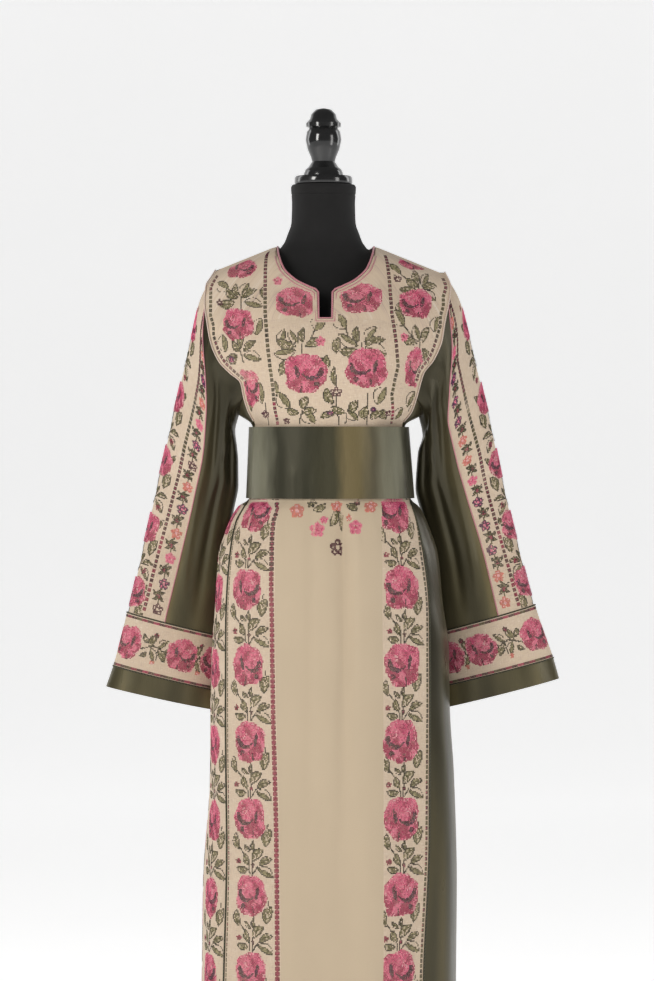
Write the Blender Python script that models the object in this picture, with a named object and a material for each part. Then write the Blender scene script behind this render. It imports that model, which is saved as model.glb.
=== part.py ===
# A long embroidered dress on a limbless dress form.
# Metres, +Z up, the front faces -Y. The form's axis is X = 0, Y = 0 and the floor is Z = 0.

import math

import bmesh
import bpy
from mathutils import Vector

# Driving dimensions
WALL = 0.002
SEAM = 0.0003
DRESS_SHIFT = 0.008
HEM_Z = 0.035
WAIST_Z = 1.105
SHOULDER_TIP_Z = 1.409
NECK_POINT_Z = 1.450
NECK_HALF = 0.0813
NECK_SHIFT = -0.005
TIP_HALF = 0.183
ARMPIT_T = 0.3184
SECTION_POWER = 2.2
CROWN_POWER = 2.8
PANEL_HALF = 0.170
PANEL_GRIP = 1.6
BELT_TOP_Z = 1.162
BELT_BOTTOM_Z = 1.0484
PIPING_RADIUS = 0.0016
CORD_RADIUS = 0.0011
FORM_BOTTOM_Z = 0.800
NECK_TOP_Z = 1.549
POLE_RADIUS = 0.0125
BASE_RADIUS = 0.170
BASE_TOP_Z = 0.050
SPLIT_T = 0.835
UNDERARM_POWER = 2.2
BELT_LEFT = 0.1275
BELT_RIGHT = 0.1288
BELT_FRONT = 0.1125
BELT_BACK = 0.1015
BELT_FLARE = (0.0045, 0.0088, 0.0020)
EDGE_LEAN = 0.28
EDGE_LEVELS = (1.24, 1.35)
NECK_CENTRE_Z = 1.33
CUFF_GAPS = (0.0035, 0.0015, 0.0050)
FORM_SIDES = 24
CAP_SIDES = 20
BASE_SIDES = 32
POLE_SIDES = 12
CORD_SIDES = 6
WALL_SMOOTH = 35.0
CORD_SMOOTH = 60.0
TURNED_SMOOTH = 40.0
FORM_SMOOTH = 50.0
SEWN_ROUND = {"bottom": "level", "left": "seam", "right": "seam", "top": "seam"}

# Bodice edge at the armhole and the side seam.
# Columns: height fraction, left half width, right half width, depth in front, depth behind
EDGE = [
    (0.0000, 0.1160, 0.1170, 0.0310, 0.0290),
    (0.1800, 0.1170, 0.1172, 0.0320, 0.0300),
    (0.2500, 0.1270, 0.1310, 0.0430, 0.0460),
    (0.3184, 0.1336, 0.1385, 0.0500, 0.0580),
    (0.3920, 0.1385, 0.1445, 0.0560, 0.0660),
    (0.4500, 0.1560, 0.1500, 0.0580, 0.0690),
    (0.5225, 0.1735, 0.1650, 0.0580, 0.0690),
    (0.6345, 0.1864, 0.1785, 0.0530, 0.0640),
    (0.7400, 0.1920, 0.1840, 0.0460, 0.0560),
    (0.8350, 0.1960, 0.1900, 0.0360, 0.0440),
    (0.9240, 0.1944, 0.1935, 0.0200, 0.0250),
    (1.0000, 0.1800, 0.1850, 0.0000, 0.0000),
]

# Bodice at its middle. Columns: height fraction, depth in front, depth behind
CROWN = [
    (0.000, 0.1075, 0.0965),
    (0.175, 0.1075, 0.0965),
    (0.304, 0.1180, 0.1030),
    (0.478, 0.1300, 0.1080),
    (0.594, 0.1250, 0.1090),
    (0.710, 0.1090, 0.1050),
    (0.826, 0.0850, 0.0930),
    (0.913, 0.0640, 0.0780),
    (0.970, 0.0400, 0.0500),
    (1.000, 0.0000, 0.0000),
]

# Heights of the bodice rows, as fractions from the waist to the shoulder
BODICE_ROWS = [0.0, 0.10, 0.18, 0.25, ARMPIT_T, 0.392, 0.45, 0.5225]
BODICE_ROWS += [0.60, 0.68, 0.76, SPLIT_T, 0.885, 0.924, 0.965, 1.0]

# Neckline. Columns: distance from the neck's middle, height in front, height behind
NECKLINE = [
    (0.0120, 1.3305, 1.4336),
    (0.0135, 1.3735, 1.4337),
    (0.0260, 1.3810, 1.4345),
    (0.0450, 1.3905, 1.4370),
    (0.0550, 1.3980, 1.4390),
    (0.0675, 1.4110, 1.4430),
    (0.0770, 1.4340, 1.4470),
    (0.0813, 1.4500, 1.4500),
]

# Side body under the arm. Columns: height, left half width, right half width
UNDERARM = [
    (1.105, 0.1200, 0.1200),
    (1.166, 0.1212, 0.1212),
    (1.175, 0.1340, 0.1390),
    (1.182, 0.1440, 0.1500),
    (1.202, 0.1500, 0.1560),
]

# Skirt sections. Columns: height, left, right, depth in front, depth behind
SKIRT = [
    (1.1050, 0.1200, 0.1210, 0.1070, 0.0960),
    (1.0600, 0.1260, 0.1290, 0.1080, 0.0970),
    (1.0470, 0.1272, 0.1315, 0.1095, 0.0980),
    (1.0340, 0.1450, 0.1456, 0.1170, 0.1070),
    (0.9924, 0.1656, 0.1650, 0.1260, 0.1200),
    (0.9596, 0.1757, 0.1752, 0.1300, 0.1280),
    (0.8812, 0.1811, 0.1832, 0.1350, 0.1390),
    (0.8084, 0.1864, 0.1928, 0.1380, 0.1430),
    (0.7124, 0.1890, 0.1944, 0.1410, 0.1470),
    (0.6052, 0.1896, 0.2008, 0.1440, 0.1510),
    (0.4340, 0.2002, 0.2053, 0.1500, 0.1570),
    (0.2756, 0.2024, 0.2040, 0.1540, 0.1620),
    (0.0350, 0.2110, 0.2120, 0.1610, 0.1700),
]
SKIRT_ROWS = [1.105, 1.06, 1.047, 1.032, 0.996, 0.955, 0.90, 0.82, 0.70, 0.56, 0.42, 0.28, 0.15, HEM_Z]

# Skirt seams in front. Columns: height, side seam left, band left, band right, side seam right
SKIRT_SEAMS = [
    (1.105, -0.1180, -0.0770, 0.0830, 0.1190),
    (1.044, -0.1290, -0.0776, 0.0835, 0.1300),
    (1.010, -0.1464, -0.0815, 0.0840, 0.1400),
    (0.954, -0.1560, -0.0845, 0.0840, 0.1510),
    (0.876, -0.1608, -0.0840, 0.0840, 0.1585),
    (0.725, -0.1608, -0.0815, 0.0850, 0.1592),
    (0.520, -0.1590, -0.0760, 0.0850, 0.1592),
    (0.276, -0.1640, -0.0734, 0.0850, 0.1512),
    (0.035, -0.1680, -0.0730, 0.0850, 0.1500),
]
SEAM_LEFT_BACK = -112.0
SEAM_RIGHT_BACK = 104.0

# Soft folds of the skirt.
# Columns: angle from the front, width, depth at the top, depth at the hem, top height
FOLDS = [
    (7.0, 4.5, -0.0060, -0.0010, 1.050),
    (17.0, 8.0, 0.0025, 0.0045, 1.000),
    (-18.0, 8.0, 0.0020, 0.0050, 0.950),
    (-40.0, 7.0, -0.0015, -0.0060, 0.900),
    (-62.0, 9.0, 0.0010, 0.0060, 0.900),
    (42.0, 7.0, -0.0015, -0.0060, 0.900),
    (64.0, 9.0, 0.0010, 0.0060, 0.900),
    (122.0, 9.0, -0.0010, -0.0090, 0.950),
    (142.0, 9.0, 0.0020, 0.0100, 0.980),
    (162.0, 8.0, -0.0020, -0.0090, 0.980),
    (180.0, 9.0, 0.0025, 0.0100, 1.000),
    (-162.0, 8.0, -0.0020, -0.0080, 0.980),
    (-143.0, 9.0, 0.0020, 0.0100, 0.980),
    (-124.0, 9.0, -0.0010, -0.0080, 0.950),
]

# Sleeves. Columns: outer x, outer z, inner x, inner z, middle y, half depth, strip share
SLEEVE_LEFT = [
    (0.1800, 1.4090, 0.1440, 1.1812, 0.004, 0.058, 0.16),
    (0.2056, 1.3652, 0.1495, 1.1560, 0.006, 0.056, 0.27),
    (0.2216, 1.3012, 0.1465, 1.1300, 0.010, 0.054, 0.38),
    (0.2376, 1.2372, 0.1448, 1.1060, 0.018, 0.050, 0.46),
    (0.2568, 1.1572, 0.1448, 1.0708, 0.034, 0.045, 0.50),
    (0.2776, 1.0708, 0.1540, 1.0212, 0.056, 0.041, 0.50),
    (0.3016, 0.9684, 0.1680, 0.9300, 0.074, 0.038, 0.47),
    (0.3261, 0.8628, 0.1776, 0.8252, 0.072, 0.035, 0.42),
    (0.3486, 0.7764, 0.1816, 0.7364, 0.074, 0.033, 0.40),
    (0.3602, 0.7428, 0.1824, 0.7044, 0.074, 0.032, 0.40),
]
SLEEVE_RIGHT = [
    (0.1850, 1.4090, 0.1500, 1.1780, 0.004, 0.058, 0.16),
    (0.2104, 1.3652, 0.1530, 1.1500, 0.006, 0.056, 0.30),
    (0.2280, 1.3012, 0.1440, 1.1220, 0.010, 0.054, 0.43),
    (0.2448, 1.2372, 0.1416, 1.0996, 0.018, 0.050, 0.52),
    (0.2648, 1.1572, 0.1400, 1.0644, 0.034, 0.045, 0.49),
    (0.2840, 1.0708, 0.1500, 1.0212, 0.056, 0.041, 0.46),
    (0.3096, 0.9684, 0.1700, 0.9332, 0.074, 0.038, 0.42),
    (0.3344, 0.8748, 0.1784, 0.8308, 0.072, 0.035, 0.39),
    (0.3640, 0.7892, 0.1832, 0.7428, 0.074, 0.033, 0.38),
    (0.3736, 0.7556, 0.1840, 0.7076, 0.074, 0.032, 0.38),
]
CUFF_ROW = 7.0
CUFF_HEM_ROW = 8.0
SLEEVE_ROWS = [0.0, 0.25, 0.6, 1.0, 1.6, 2.3, 3.0, 4.0, 5.0, 6.0, CUFF_ROW]
ROOT_FADE = 3.0
FOLD_POWER = 0.55

# Dress form. Columns: height, half width, depth in front, depth behind
FORM = [
    (0.800, 0.144, 0.104, 0.106),
    (0.815, 0.152, 0.112, 0.114),
    (0.900, 0.148, 0.108, 0.110),
    (0.980, 0.130, 0.098, 0.094),
    (1.060, 0.104, 0.092, 0.082),
    (1.140, 0.101, 0.092, 0.080),
    (1.220, 0.108, 0.102, 0.086),
    (1.270, 0.118, 0.112, 0.090),
    (1.320, 0.132, 0.102, 0.090),
    (1.360, 0.144, 0.078, 0.080),
    (1.385, 0.147, 0.060, 0.064),
    (1.402, 0.142, 0.048, 0.052),
    (1.416, 0.128, 0.041, 0.045),
    (1.430, 0.104, 0.038, 0.042),
    (1.440, 0.084, 0.038, 0.042),
    (1.447, 0.070, 0.040, 0.044),
    (1.458, 0.062, 0.044, 0.046),
    (1.470, 0.0575, 0.047, 0.048),
    (1.488, 0.0515, 0.049, 0.050),
    (1.520, 0.0505, 0.050, 0.050),
    (1.5455, 0.0520, 0.051, 0.051),
    (1.549, 0.0500, 0.049, 0.049),
]

# Turned neck cap. Columns: radius, height
NECK_CAP = [
    (0.0000, 1.5493),
    (0.0450, 1.5493),
    (0.0464, 1.5515),
    (0.0464, 1.5600),
    (0.0445, 1.5630),
    (0.0320, 1.5645),
    (0.0310, 1.5690),
    (0.0290, 1.5740),
    (0.0250, 1.5770),
    (0.0184, 1.5866),
    (0.0200, 1.5930),
    (0.0255, 1.6060),
    (0.0288, 1.6212),
    (0.0270, 1.6340),
    (0.0225, 1.6400),
    (0.0278, 1.6420),
    (0.0282, 1.6480),
    (0.0250, 1.6515),
    (0.0220, 1.6545),
    (0.0200, 1.6620),
    (0.0135, 1.6695),
    (0.0000, 1.6724),
]

# Base. Columns: radius, height
BASE = [
    (0.000, 0.0000),
    (0.168, 0.0000),
    (BASE_RADIUS, 0.0020),
    (BASE_RADIUS, 0.0120),
    (0.166, 0.0160),
    (0.060, 0.0230),
    (0.030, 0.0260),
    (0.024, 0.0340),
    (0.021, BASE_TOP_Z),
    (0.000, BASE_TOP_Z),
]

# Colours: base colour, roughness, metallic
FINISH = {
    "linen": ((0.76, 0.66, 0.55), 0.85, 0.0),
    "crepe": ((0.68, 0.58, 0.44), 0.70, 0.0),
    "satin": ((0.085, 0.085, 0.050), 0.32, 0.0),
    "piping": ((0.62, 0.33, 0.33), 0.60, 0.0),
    "jersey": ((0.010, 0.010, 0.011), 0.90, 0.0),
    "lacquer": ((0.008, 0.008, 0.008), 0.18, 0.0),
    "iron": ((0.012, 0.012, 0.013), 0.45, 0.3),
}


def material(name):
    found = bpy.data.materials.get(name)
    if found:
        return found
    colour, roughness, metallic = FINISH[name]
    made = bpy.data.materials.new(name)
    made.use_nodes = True
    shader = made.node_tree.nodes["Principled BSDF"]
    shader.inputs["Base Color"].default_value = (*colour, 1.0)
    shader.inputs["Roughness"].default_value = roughness
    shader.inputs["Metallic"].default_value = metallic
    return made


def column(table, index):
    """One column of a table against its first, as a smooth curve that keeps its peaks."""
    xs = [row[0] for row in table]
    ys = [row[index] for row in table]
    if xs[0] > xs[-1]:
        xs.reverse()
        ys.reverse()
    steps = [xs[i + 1] - xs[i] for i in range(len(xs) - 1)]
    slopes = [(ys[i + 1] - ys[i]) / steps[i] for i in range(len(steps))]
    tangents = [slopes[0]]
    for i in range(1, len(slopes)):
        if slopes[i - 1] * slopes[i] <= 0.0:
            tangents.append(0.0)
            continue
        before = 2.0 * steps[i] + steps[i - 1]
        after = steps[i] + 2.0 * steps[i - 1]
        tangents.append((before + after) / (before / slopes[i - 1] + after / slopes[i]))
    tangents.append(slopes[-1])

    def value(x):
        x = min(max(x, xs[0]), xs[-1])
        i = 0
        while i < len(steps) - 1 and x > xs[i + 1]:
            i += 1
        t = (x - xs[i]) / steps[i]
        start = (1 + 2 * t) * (1 - t) ** 2 * ys[i]
        start += t * (1 - t) ** 2 * steps[i] * tangents[i]
        end = t * t * (3 - 2 * t) * ys[i + 1]
        end += t * t * (t - 1) * steps[i] * tangents[i + 1]
        return start + end

    return value


def columns(table):
    return [column(table, i) for i in range(1, len(table[0]))]


def numbered(table):
    """The same table with a row number as its first column."""
    return [(float(i), *row) for i, row in enumerate(table)]


EDGE_LEFT, EDGE_RIGHT, EDGE_FRONT, EDGE_BACK = columns(EDGE)
CROWN_FRONT, CROWN_BACK = columns(CROWN)
NECK_FRONT, NECK_BACK = columns(NECKLINE)
UNDERARM_LEFT, UNDERARM_RIGHT = columns(UNDERARM)
SKIRT_LEFT, SKIRT_RIGHT, SKIRT_FRONT, SKIRT_BACK = columns(SKIRT)
SEAM_COLUMNS = columns(SKIRT_SEAMS)
SLEEVES = {-1: columns(numbered(SLEEVE_LEFT)), 1: columns(numbered(SLEEVE_RIGHT))}


def smooth_step(low, high, value):
    t = min(max((value - low) / (high - low), 0.0), 1.0)
    return t * t * (3.0 - 2.0 * t)


def shoulder_z(x):
    """Height of the shoulder line at a distance from the dress's middle."""
    out = (abs(x - NECK_SHIFT) - NECK_HALF) / (TIP_HALF - NECK_HALF)
    return NECK_POINT_Z - (NECK_POINT_Z - SHOULDER_TIP_Z) * min(max(out, 0.0), 1.0)


def half_width(side, t):
    return EDGE_LEFT(t) if side < 0 else EDGE_RIGHT(t)


def bodice_x(c, t):
    grip = min(abs(c), 1.0) ** PANEL_GRIP
    return c * (PANEL_HALF * (1.0 - grip) + half_width(c, t) * grip)


def bodice_point(c, t, back):
    """A point of the bodice's front or back; c runs from -1 to 1 across, t up."""
    x = bodice_x(c, t)
    edge = EDGE_BACK(t) if back else EDGE_FRONT(t)
    crown = CROWN_BACK(t) if back else CROWN_FRONT(t)
    share = min(abs(x) / half_width(c, t), 1.0)
    depth = edge + (crown - edge) * (1.0 - share ** CROWN_POWER)
    z = WAIST_Z + SEAM + t * (shoulder_z(x) - WAIST_Z - SEAM)
    return Vector((x, depth if back else -depth, z))


def across(offset):
    """The bodice coordinate of a distance from the neck's middle."""
    x = offset + NECK_SHIFT
    c = x / PANEL_HALF
    for _ in range(6):
        c += (x - bodice_x(c, 0.9)) / PANEL_HALF
    return c


def neck_t(offset, back):
    """How far up a bodice column runs before the neckline cuts it."""
    if abs(offset) >= NECK_HALF - 1e-6:
        return 1.0
    z = (NECK_BACK if back else NECK_FRONT)(abs(offset))
    return (z - WAIST_Z - SEAM) / (NECK_POINT_Z - WAIST_Z - SEAM)


def armhole_edge(side, t, back):
    return bodice_point(float(side), t, back)


def underarm_point(side, w, v):
    """A point of the side body; w runs from the front edge to the back edge, v up."""
    t = v * ARMPIT_T
    front = armhole_edge(side, t, False)
    behind = armhole_edge(side, t, True)
    swell = 1.0 - abs(2.0 * w - 1.0) ** UNDERARM_POWER
    point = front.lerp(behind, w)
    point.z -= v * armpit_dip(side) * (1.0 - (2.0 * w - 1.0) ** 2)
    wide = (UNDERARM_LEFT if side < 0 else UNDERARM_RIGHT)(point.z)
    point.x = side * (abs(front.x) + (wide - abs(front.x)) * swell)
    return point


def armpit_dip(side):
    inner_z = SLEEVES[side][3](0.0)
    return armhole_edge(side, ARMPIT_T, False).z - inner_z


ARM_TS = [t for t in reversed(BODICE_ROWS) if t >= ARMPIT_T - 1e-6]
ARMPIT_WS = [0.125, 0.25, 0.375, 0.5]


def armhole_points(side, back):
    """The armhole from the shoulder tip down to the armpit, on one face."""
    points = [armhole_edge(side, t, back) for t in ARM_TS]
    for w in ARMPIT_WS:
        points.append(underarm_point(side, 1.0 - w if back else w, 1.0))
    return points


def shares(points):
    """Distance along a polyline as a share of its length."""
    total = [0.0]
    for a, b in zip(points, points[1:]):
        total.append(total[-1] + (b - a).length)
    return [value / total[-1] for value in total]


def on_polyline(points, marks, share):
    i = 0
    while i < len(marks) - 2 and share > marks[i + 1]:
        i += 1
    t = (share - marks[i]) / (marks[i + 1] - marks[i])
    return points[i].lerp(points[i + 1], t)


def sleeve_plane(side, row, h, back):
    """A point of the plain sleeve section; h runs from the outer fold to the inner fold."""
    outer_x, outer_z, inner_x, inner_z, middle, depth, _ = [curve(row) for curve in SLEEVES[side]]
    bulge = depth * max(4.0 * h * (1.0 - h), 0.0) ** FOLD_POWER
    x = outer_x + (inner_x - outer_x) * h
    z = outer_z + (inner_z - outer_z) * h
    return Vector((side * x, middle + (bulge if back else -bulge), z))


ARMHOLES = {}
for arm_side in (-1, 1):
    for arm_back in (False, True):
        arm_line = armhole_points(arm_side, arm_back)
        ARMHOLES[arm_side, arm_back] = (arm_line, shares(arm_line))


def sleeve_point(side, row, h, back):
    point = sleeve_plane(side, row, h, back)
    if row < ROOT_FADE:
        line, marks = ARMHOLES[side, back]
        fade = (1.0 - row / ROOT_FADE) ** 2
        point += fade * (on_polyline(line, marks, h) - sleeve_plane(side, 0.0, h, back))
    return point


def sleeve_round(side, turn, row):
    """A point round the whole sleeve: turn is 0 at the outer fold and 1 or -1 at the inner one."""
    if turn > 1.0:
        turn -= 2.0
    if turn < -1.0:
        turn += 2.0
    return sleeve_point(side, max(row, 0.0), abs(turn), turn < 0.0)


def inward(point):
    """The shared direction of a cut edge, from the outer face to the inner face."""
    drop = smooth_step(1.16, 1.20, point.z)
    level = point.z + drop * (min(max(point.z, EDGE_LEVELS[0]), EDGE_LEVELS[1]) - point.z)
    aside = min(abs(point.y) / 0.05, 1.0) ** 2
    aside = max(aside, smooth_step(1.21, 1.30, point.z), 1.0 - smooth_step(1.160, 1.176, point.z))
    return (Vector((point.x * (1.0 - EDGE_LEAN * aside), 0.0, level)) - point).normalized()


def skirt_point(angle, z):
    """A point of the skirt at an angle in degrees from the front, to the right."""
    left, right = SKIRT_LEFT(z), SKIRT_RIGHT(z)
    middle, half = (right - left) / 2.0, (right + left) / 2.0
    turn = math.radians(angle)
    sine, cosine = math.sin(turn), math.cos(turn)
    push = 0.0
    for fold_angle, width, top_depth, hem_depth, top in FOLDS:
        away = (angle - fold_angle + 180.0) % 360.0 - 180.0
        if z < top and abs(away) < 4.0 * width:
            share = (top - z) / (top - HEM_Z)
            fade = smooth_step(0.0, 0.06, share)
            depth = top_depth + (hem_depth - top_depth) * share
            push += fade * depth * math.exp(-(away / width) ** 2)
    x = middle + half * math.copysign(abs(sine) ** (2.0 / SECTION_POWER), sine)
    depth = SKIRT_FRONT(z) if cosine > 0.0 else SKIRT_BACK(z)
    y = -depth * math.copysign(abs(cosine) ** (2.0 / SECTION_POWER), cosine)
    return Vector((x + push * sine, y - push * cosine, z))


def seam_angle(z, x):
    left, right = SKIRT_LEFT(z), SKIRT_RIGHT(z)
    middle, half = (right - left) / 2.0, (right + left) / 2.0
    share = min(abs(x - middle) / half, 0.985)
    angle = math.degrees(math.asin(share ** (SECTION_POWER / 2.0)))
    return math.copysign(angle, x - middle)


def belt_point(angle, z):
    share = (BELT_TOP_Z - z) / (BELT_TOP_Z - BELT_BOTTOM_Z)
    left = BELT_LEFT + BELT_FLARE[0] * share
    right = BELT_RIGHT + BELT_FLARE[1] * share
    middle, half = (right - left) / 2.0, (right + left) / 2.0
    turn = math.radians(angle)
    sine, cosine = math.sin(turn), math.cos(turn)
    x = middle + half * math.copysign(abs(sine) ** (2.0 / SECTION_POWER), sine)
    depth = (BELT_FRONT if cosine > 0.0 else BELT_BACK) + BELT_FLARE[2] * share
    y = -depth * math.copysign(abs(cosine) ** (2.0 / SECTION_POWER), cosine)
    return Vector((x, y, z))


def sampled(surface, places, steps):
    """Points and normals of a surface at rows of places; steps are small moves in its two numbers."""
    points, normals = [], []
    for line in places:
        points.append([surface(u, v) for u, v in line])
        row = []
        for u, v in line:
            along = surface(u + steps[0], v) - surface(u - steps[0], v)
            up = surface(u, v + steps[1]) - surface(u, v - steps[1])
            row.append(along.cross(up).normalized())
        normals.append(row)
    return points, normals


def wall(name, sheet, finish, rims, core=None):
    """A closed wall on a grid of outer points, rows going up and columns to the right.

    Rims give the edges that another piece meets: bottom, top, left and right each take
    None for a free edge, "level" for a level cut, "seam" for an edge shared at an angle or
    "plain" for one shared flat. The outer side faces away from the core.
    """
    grid, normals = sheet
    rows, cols = len(grid), len(grid[0])
    mid = (rows // 2, cols // 2)
    here = grid[mid[0]][mid[1]]
    centre = core or Vector((0.0, 0.0, here.z))
    if normals[mid[0]][mid[1]].dot(here - centre) < 0.0:
        normals = [[-normal for normal in row] for row in normals]
    across_step = grid[mid[0]][mid[1] + 1] - here
    up_step = grid[mid[0] + 1][mid[1]] - here if rows > mid[0] + 1 else here - grid[mid[0] - 1][mid[1]]
    if across_step.cross(up_step).dot(here - centre) < 0.0:
        grid = [list(reversed(row)) for row in grid]
        normals = [list(reversed(row)) for row in normals]
    trimmed = [list(row) for row in grid]
    for j in range(cols):
        if rims.get("bottom") == "seam":
            pull(trimmed, grid, 0, j, 1, j)
        if rims.get("top") == "seam":
            pull(trimmed, grid, rows - 1, j, rows - 2, j)
    for i in range(rows):
        if rims.get("left"):
            pull(trimmed, grid, i, 0, i, 1)
        if rims.get("right"):
            pull(trimmed, grid, i, cols - 1, i, cols - 2)
    mesh = bmesh.new()
    outer, inner = [], []
    for i in range(rows):
        outer.append([mesh.verts.new(trimmed[i][j]) for j in range(cols)])
        line = []
        for j in range(cols):
            line.append(mesh.verts.new(trimmed[i][j] + inner_step(grid, normals, i, j, rims)))
        inner.append(line)
    for i in range(rows - 1):
        for j in range(cols - 1):
            mesh.faces.new((outer[i][j], outer[i][j + 1], outer[i + 1][j + 1], outer[i + 1][j]))
            mesh.faces.new((inner[i][j], inner[i + 1][j], inner[i + 1][j + 1], inner[i][j + 1]))
    for i in range(rows - 1):
        mesh.faces.new((outer[i][0], outer[i + 1][0], inner[i + 1][0], inner[i][0]))
        mesh.faces.new((outer[i + 1][-1], outer[i][-1], inner[i][-1], inner[i + 1][-1]))
    for j in range(cols - 1):
        mesh.faces.new((outer[0][j + 1], outer[0][j], inner[0][j], inner[0][j + 1]))
        mesh.faces.new((outer[-1][j], outer[-1][j + 1], inner[-1][j + 1], inner[-1][j]))
    return finish_object(name, mesh, finish, WALL_SMOOTH, DRESS_SHIFT, False)


def pull(trimmed, grid, i, j, to_i, to_j):
    away = grid[to_i][to_j] - grid[i][j]
    if away.length > SEAM:
        trimmed[i][j] = trimmed[i][j] + away.normalized() * SEAM * 0.6


def inner_step(grid, normals, i, j, rims):
    """The step from an outer point to its inner point."""
    rows, cols = len(grid), len(grid[0])
    normal = normals[i][j]
    kinds = []
    if i == 0:
        kinds.append(rims.get("bottom"))
    if i == rows - 1:
        kinds.append(rims.get("top"))
    if j == 0:
        kinds.append(rims.get("left"))
    if j == cols - 1:
        kinds.append(rims.get("right"))
    step = inward(grid[i][j]) if "seam" in kinds else -normal
    if "level" in kinds:
        step = Vector((step.x, step.y, 0.0)).normalized()
    return step * WALL / max(-step.dot(normal), 0.7)


def finish_object(name, mesh, finish, smooth, shift=DRESS_SHIFT, turn_faces=True):
    bmesh.ops.triangulate(mesh, faces=mesh.faces)
    if turn_faces:
        bmesh.ops.recalc_face_normals(mesh, faces=mesh.faces)
    data = bpy.data.meshes.new(name)
    mesh.to_mesh(data)
    mesh.free()
    for vertex in data.vertices:
        vertex.co.x += shift
    data.materials.append(material(finish))
    data.shade_smooth()
    data.set_sharp_from_angle(angle=math.radians(smooth))
    made = bpy.data.objects.new(name, data)
    bpy.context.scene.collection.objects.link(made)
    return made


def tube(name, path, facings, radius, finish, closed):
    """A round cord along a path; the facings are the outward directions of what it lies on."""
    mesh = bmesh.new()
    rings = []
    count = len(path)
    for i, point in enumerate(path):
        before = path[(i - 1) % count] if closed or i > 0 else point
        after = path[(i + 1) % count] if closed or i < count - 1 else point
        tangent = (after - before).normalized()
        side = tangent.cross(facings[i]).normalized()
        up = side.cross(tangent).normalized()
        ring = []
        for k in range(CORD_SIDES):
            turn = 2.0 * math.pi * k / CORD_SIDES
            offset = side * math.cos(turn) + up * math.sin(turn)
            ring.append(mesh.verts.new(point + offset * radius))
        rings.append(ring)
    pairs = list(zip(rings, rings[1:]))
    if closed:
        pairs.append((rings[-1], rings[0]))
    for first, second in pairs:
        for k in range(CORD_SIDES):
            n = (k + 1) % CORD_SIDES
            mesh.faces.new((first[k], first[n], second[n], second[k]))
    if not closed:
        mesh.faces.new(rings[0])
        mesh.faces.new(list(reversed(rings[-1])))
    return finish_object(name, mesh, finish, CORD_SMOOTH)


def turned(name, profile, sides, finish):
    """A solid of revolution about the form's axis."""
    mesh = bmesh.new()
    rings = []
    for radius, z in profile:
        if radius == 0.0:
            rings.append([mesh.verts.new((0.0, 0.0, z))])
            continue
        ring = []
        for k in range(sides):
            turn = 2.0 * math.pi * k / sides
            ring.append(mesh.verts.new((radius * math.cos(turn), radius * math.sin(turn), z)))
        rings.append(ring)
    join_rings(mesh, rings)
    return finish_object(name, mesh, finish, TURNED_SMOOTH, 0.0)


def join_rings(mesh, rings):
    for lower, upper in zip(rings, rings[1:]):
        sides = max(len(lower), len(upper))
        for k in range(sides):
            n = (k + 1) % sides
            if len(lower) == 1:
                mesh.faces.new((lower[0], upper[n], upper[k]))
            elif len(upper) == 1:
                mesh.faces.new((lower[k], lower[n], upper[0]))
            else:
                mesh.faces.new((lower[k], lower[n], upper[n], upper[k]))


def bodice_offsets(back):
    inside = [row[0] for row in NECKLINE]
    if back:
        inside = [0.0] + inside[2:]
    line = sorted({-value for value in inside} | set(inside))
    return line


def bodice_grid(back):
    """Rows and columns of the front or the back, cut out at the neck."""
    offsets = bodice_offsets(back)
    outer = [0.60, 0.72, 0.83, 0.92, 1.0]
    crossings = [(-c, 1.0) for c in reversed(outer)]
    crossings += [(across(value), neck_t(value, back)) for value in offsets]
    crossings += [(c, 1.0) for c in outer]
    places = [[(c, t * top) for c, top in crossings] for t in BODICE_ROWS]
    return sampled(lambda c, t: bodice_point(c, t, back), places, (0.01, 0.004))


def bodice_front():
    wall("bodice_front", bodice_grid(False), "linen", SEWN_ROUND)


def bodice_back():
    wall("bodice_back", bodice_grid(True), "satin", SEWN_ROUND)


def side_bodies():
    ts = [t for t in BODICE_ROWS if t <= ARMPIT_T + 1e-6]
    ws = ARMPIT_WS[:-1] + [1.0 - w for w in ARMPIT_WS]
    ws = sorted(set([0.0, 1.0] + ws))
    for side, name in ((-1, "left"), (1, "right")):
        places = [[(w, t / ARMPIT_T) for w in ws] for t in ts]
        sheet = sampled(lambda w, v, s=side: underarm_point(s, w, v), places, (0.01, 0.01))
        wall("bodice_side_" + name, sheet, "satin", SEWN_ROUND)


def skirt_pieces():
    spans = [
        ("skirt_side_band_left", SEAM_LEFT_BACK, 0, 8, "linen"),
        ("skirt_band_left", 0, 1, 6, "linen"),
        ("skirt_centre_front", 1, 2, 12, "crepe"),
        ("skirt_band_right", 2, 3, 6, "linen"),
        ("skirt_side_right", 3, SEAM_RIGHT_BACK, 8, "satin"),
        ("skirt_back", SEAM_RIGHT_BACK, 360.0 + SEAM_LEFT_BACK, 16, "satin"),
    ]
    for name, start, end, count, finish in spans:
        places = []
        for z in reversed(SKIRT_ROWS):
            low = start if isinstance(start, float) else seam_angle(z, SEAM_COLUMNS[start](z))
            high = end if isinstance(end, float) else seam_angle(z, SEAM_COLUMNS[end](z))
            places.append([(low + (high - low) * k / count, z) for k in range(count + 1)])
        sheet = sampled(skirt_point, places, (1.0, 0.004))
        wall(name, sheet, finish, {"left": "plain", "right": "plain", "top": "level"})


def belt_pieces():
    rows = [BELT_BOTTOM_Z, 1.086, 1.124, BELT_TOP_Z]
    for name, start, end in (("belt_front", -90.0, 90.0), ("belt_back", 90.0, 270.0)):
        places = [[(start + (end - start) * k / 18, z) for k in range(19)] for z in rows]
        sheet = sampled(belt_point, places, (1.0, 0.004))
        rims = {"left": "plain", "right": "plain", "top": "level", "bottom": "level"}
        wall(name, sheet, "satin", rims)


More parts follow.
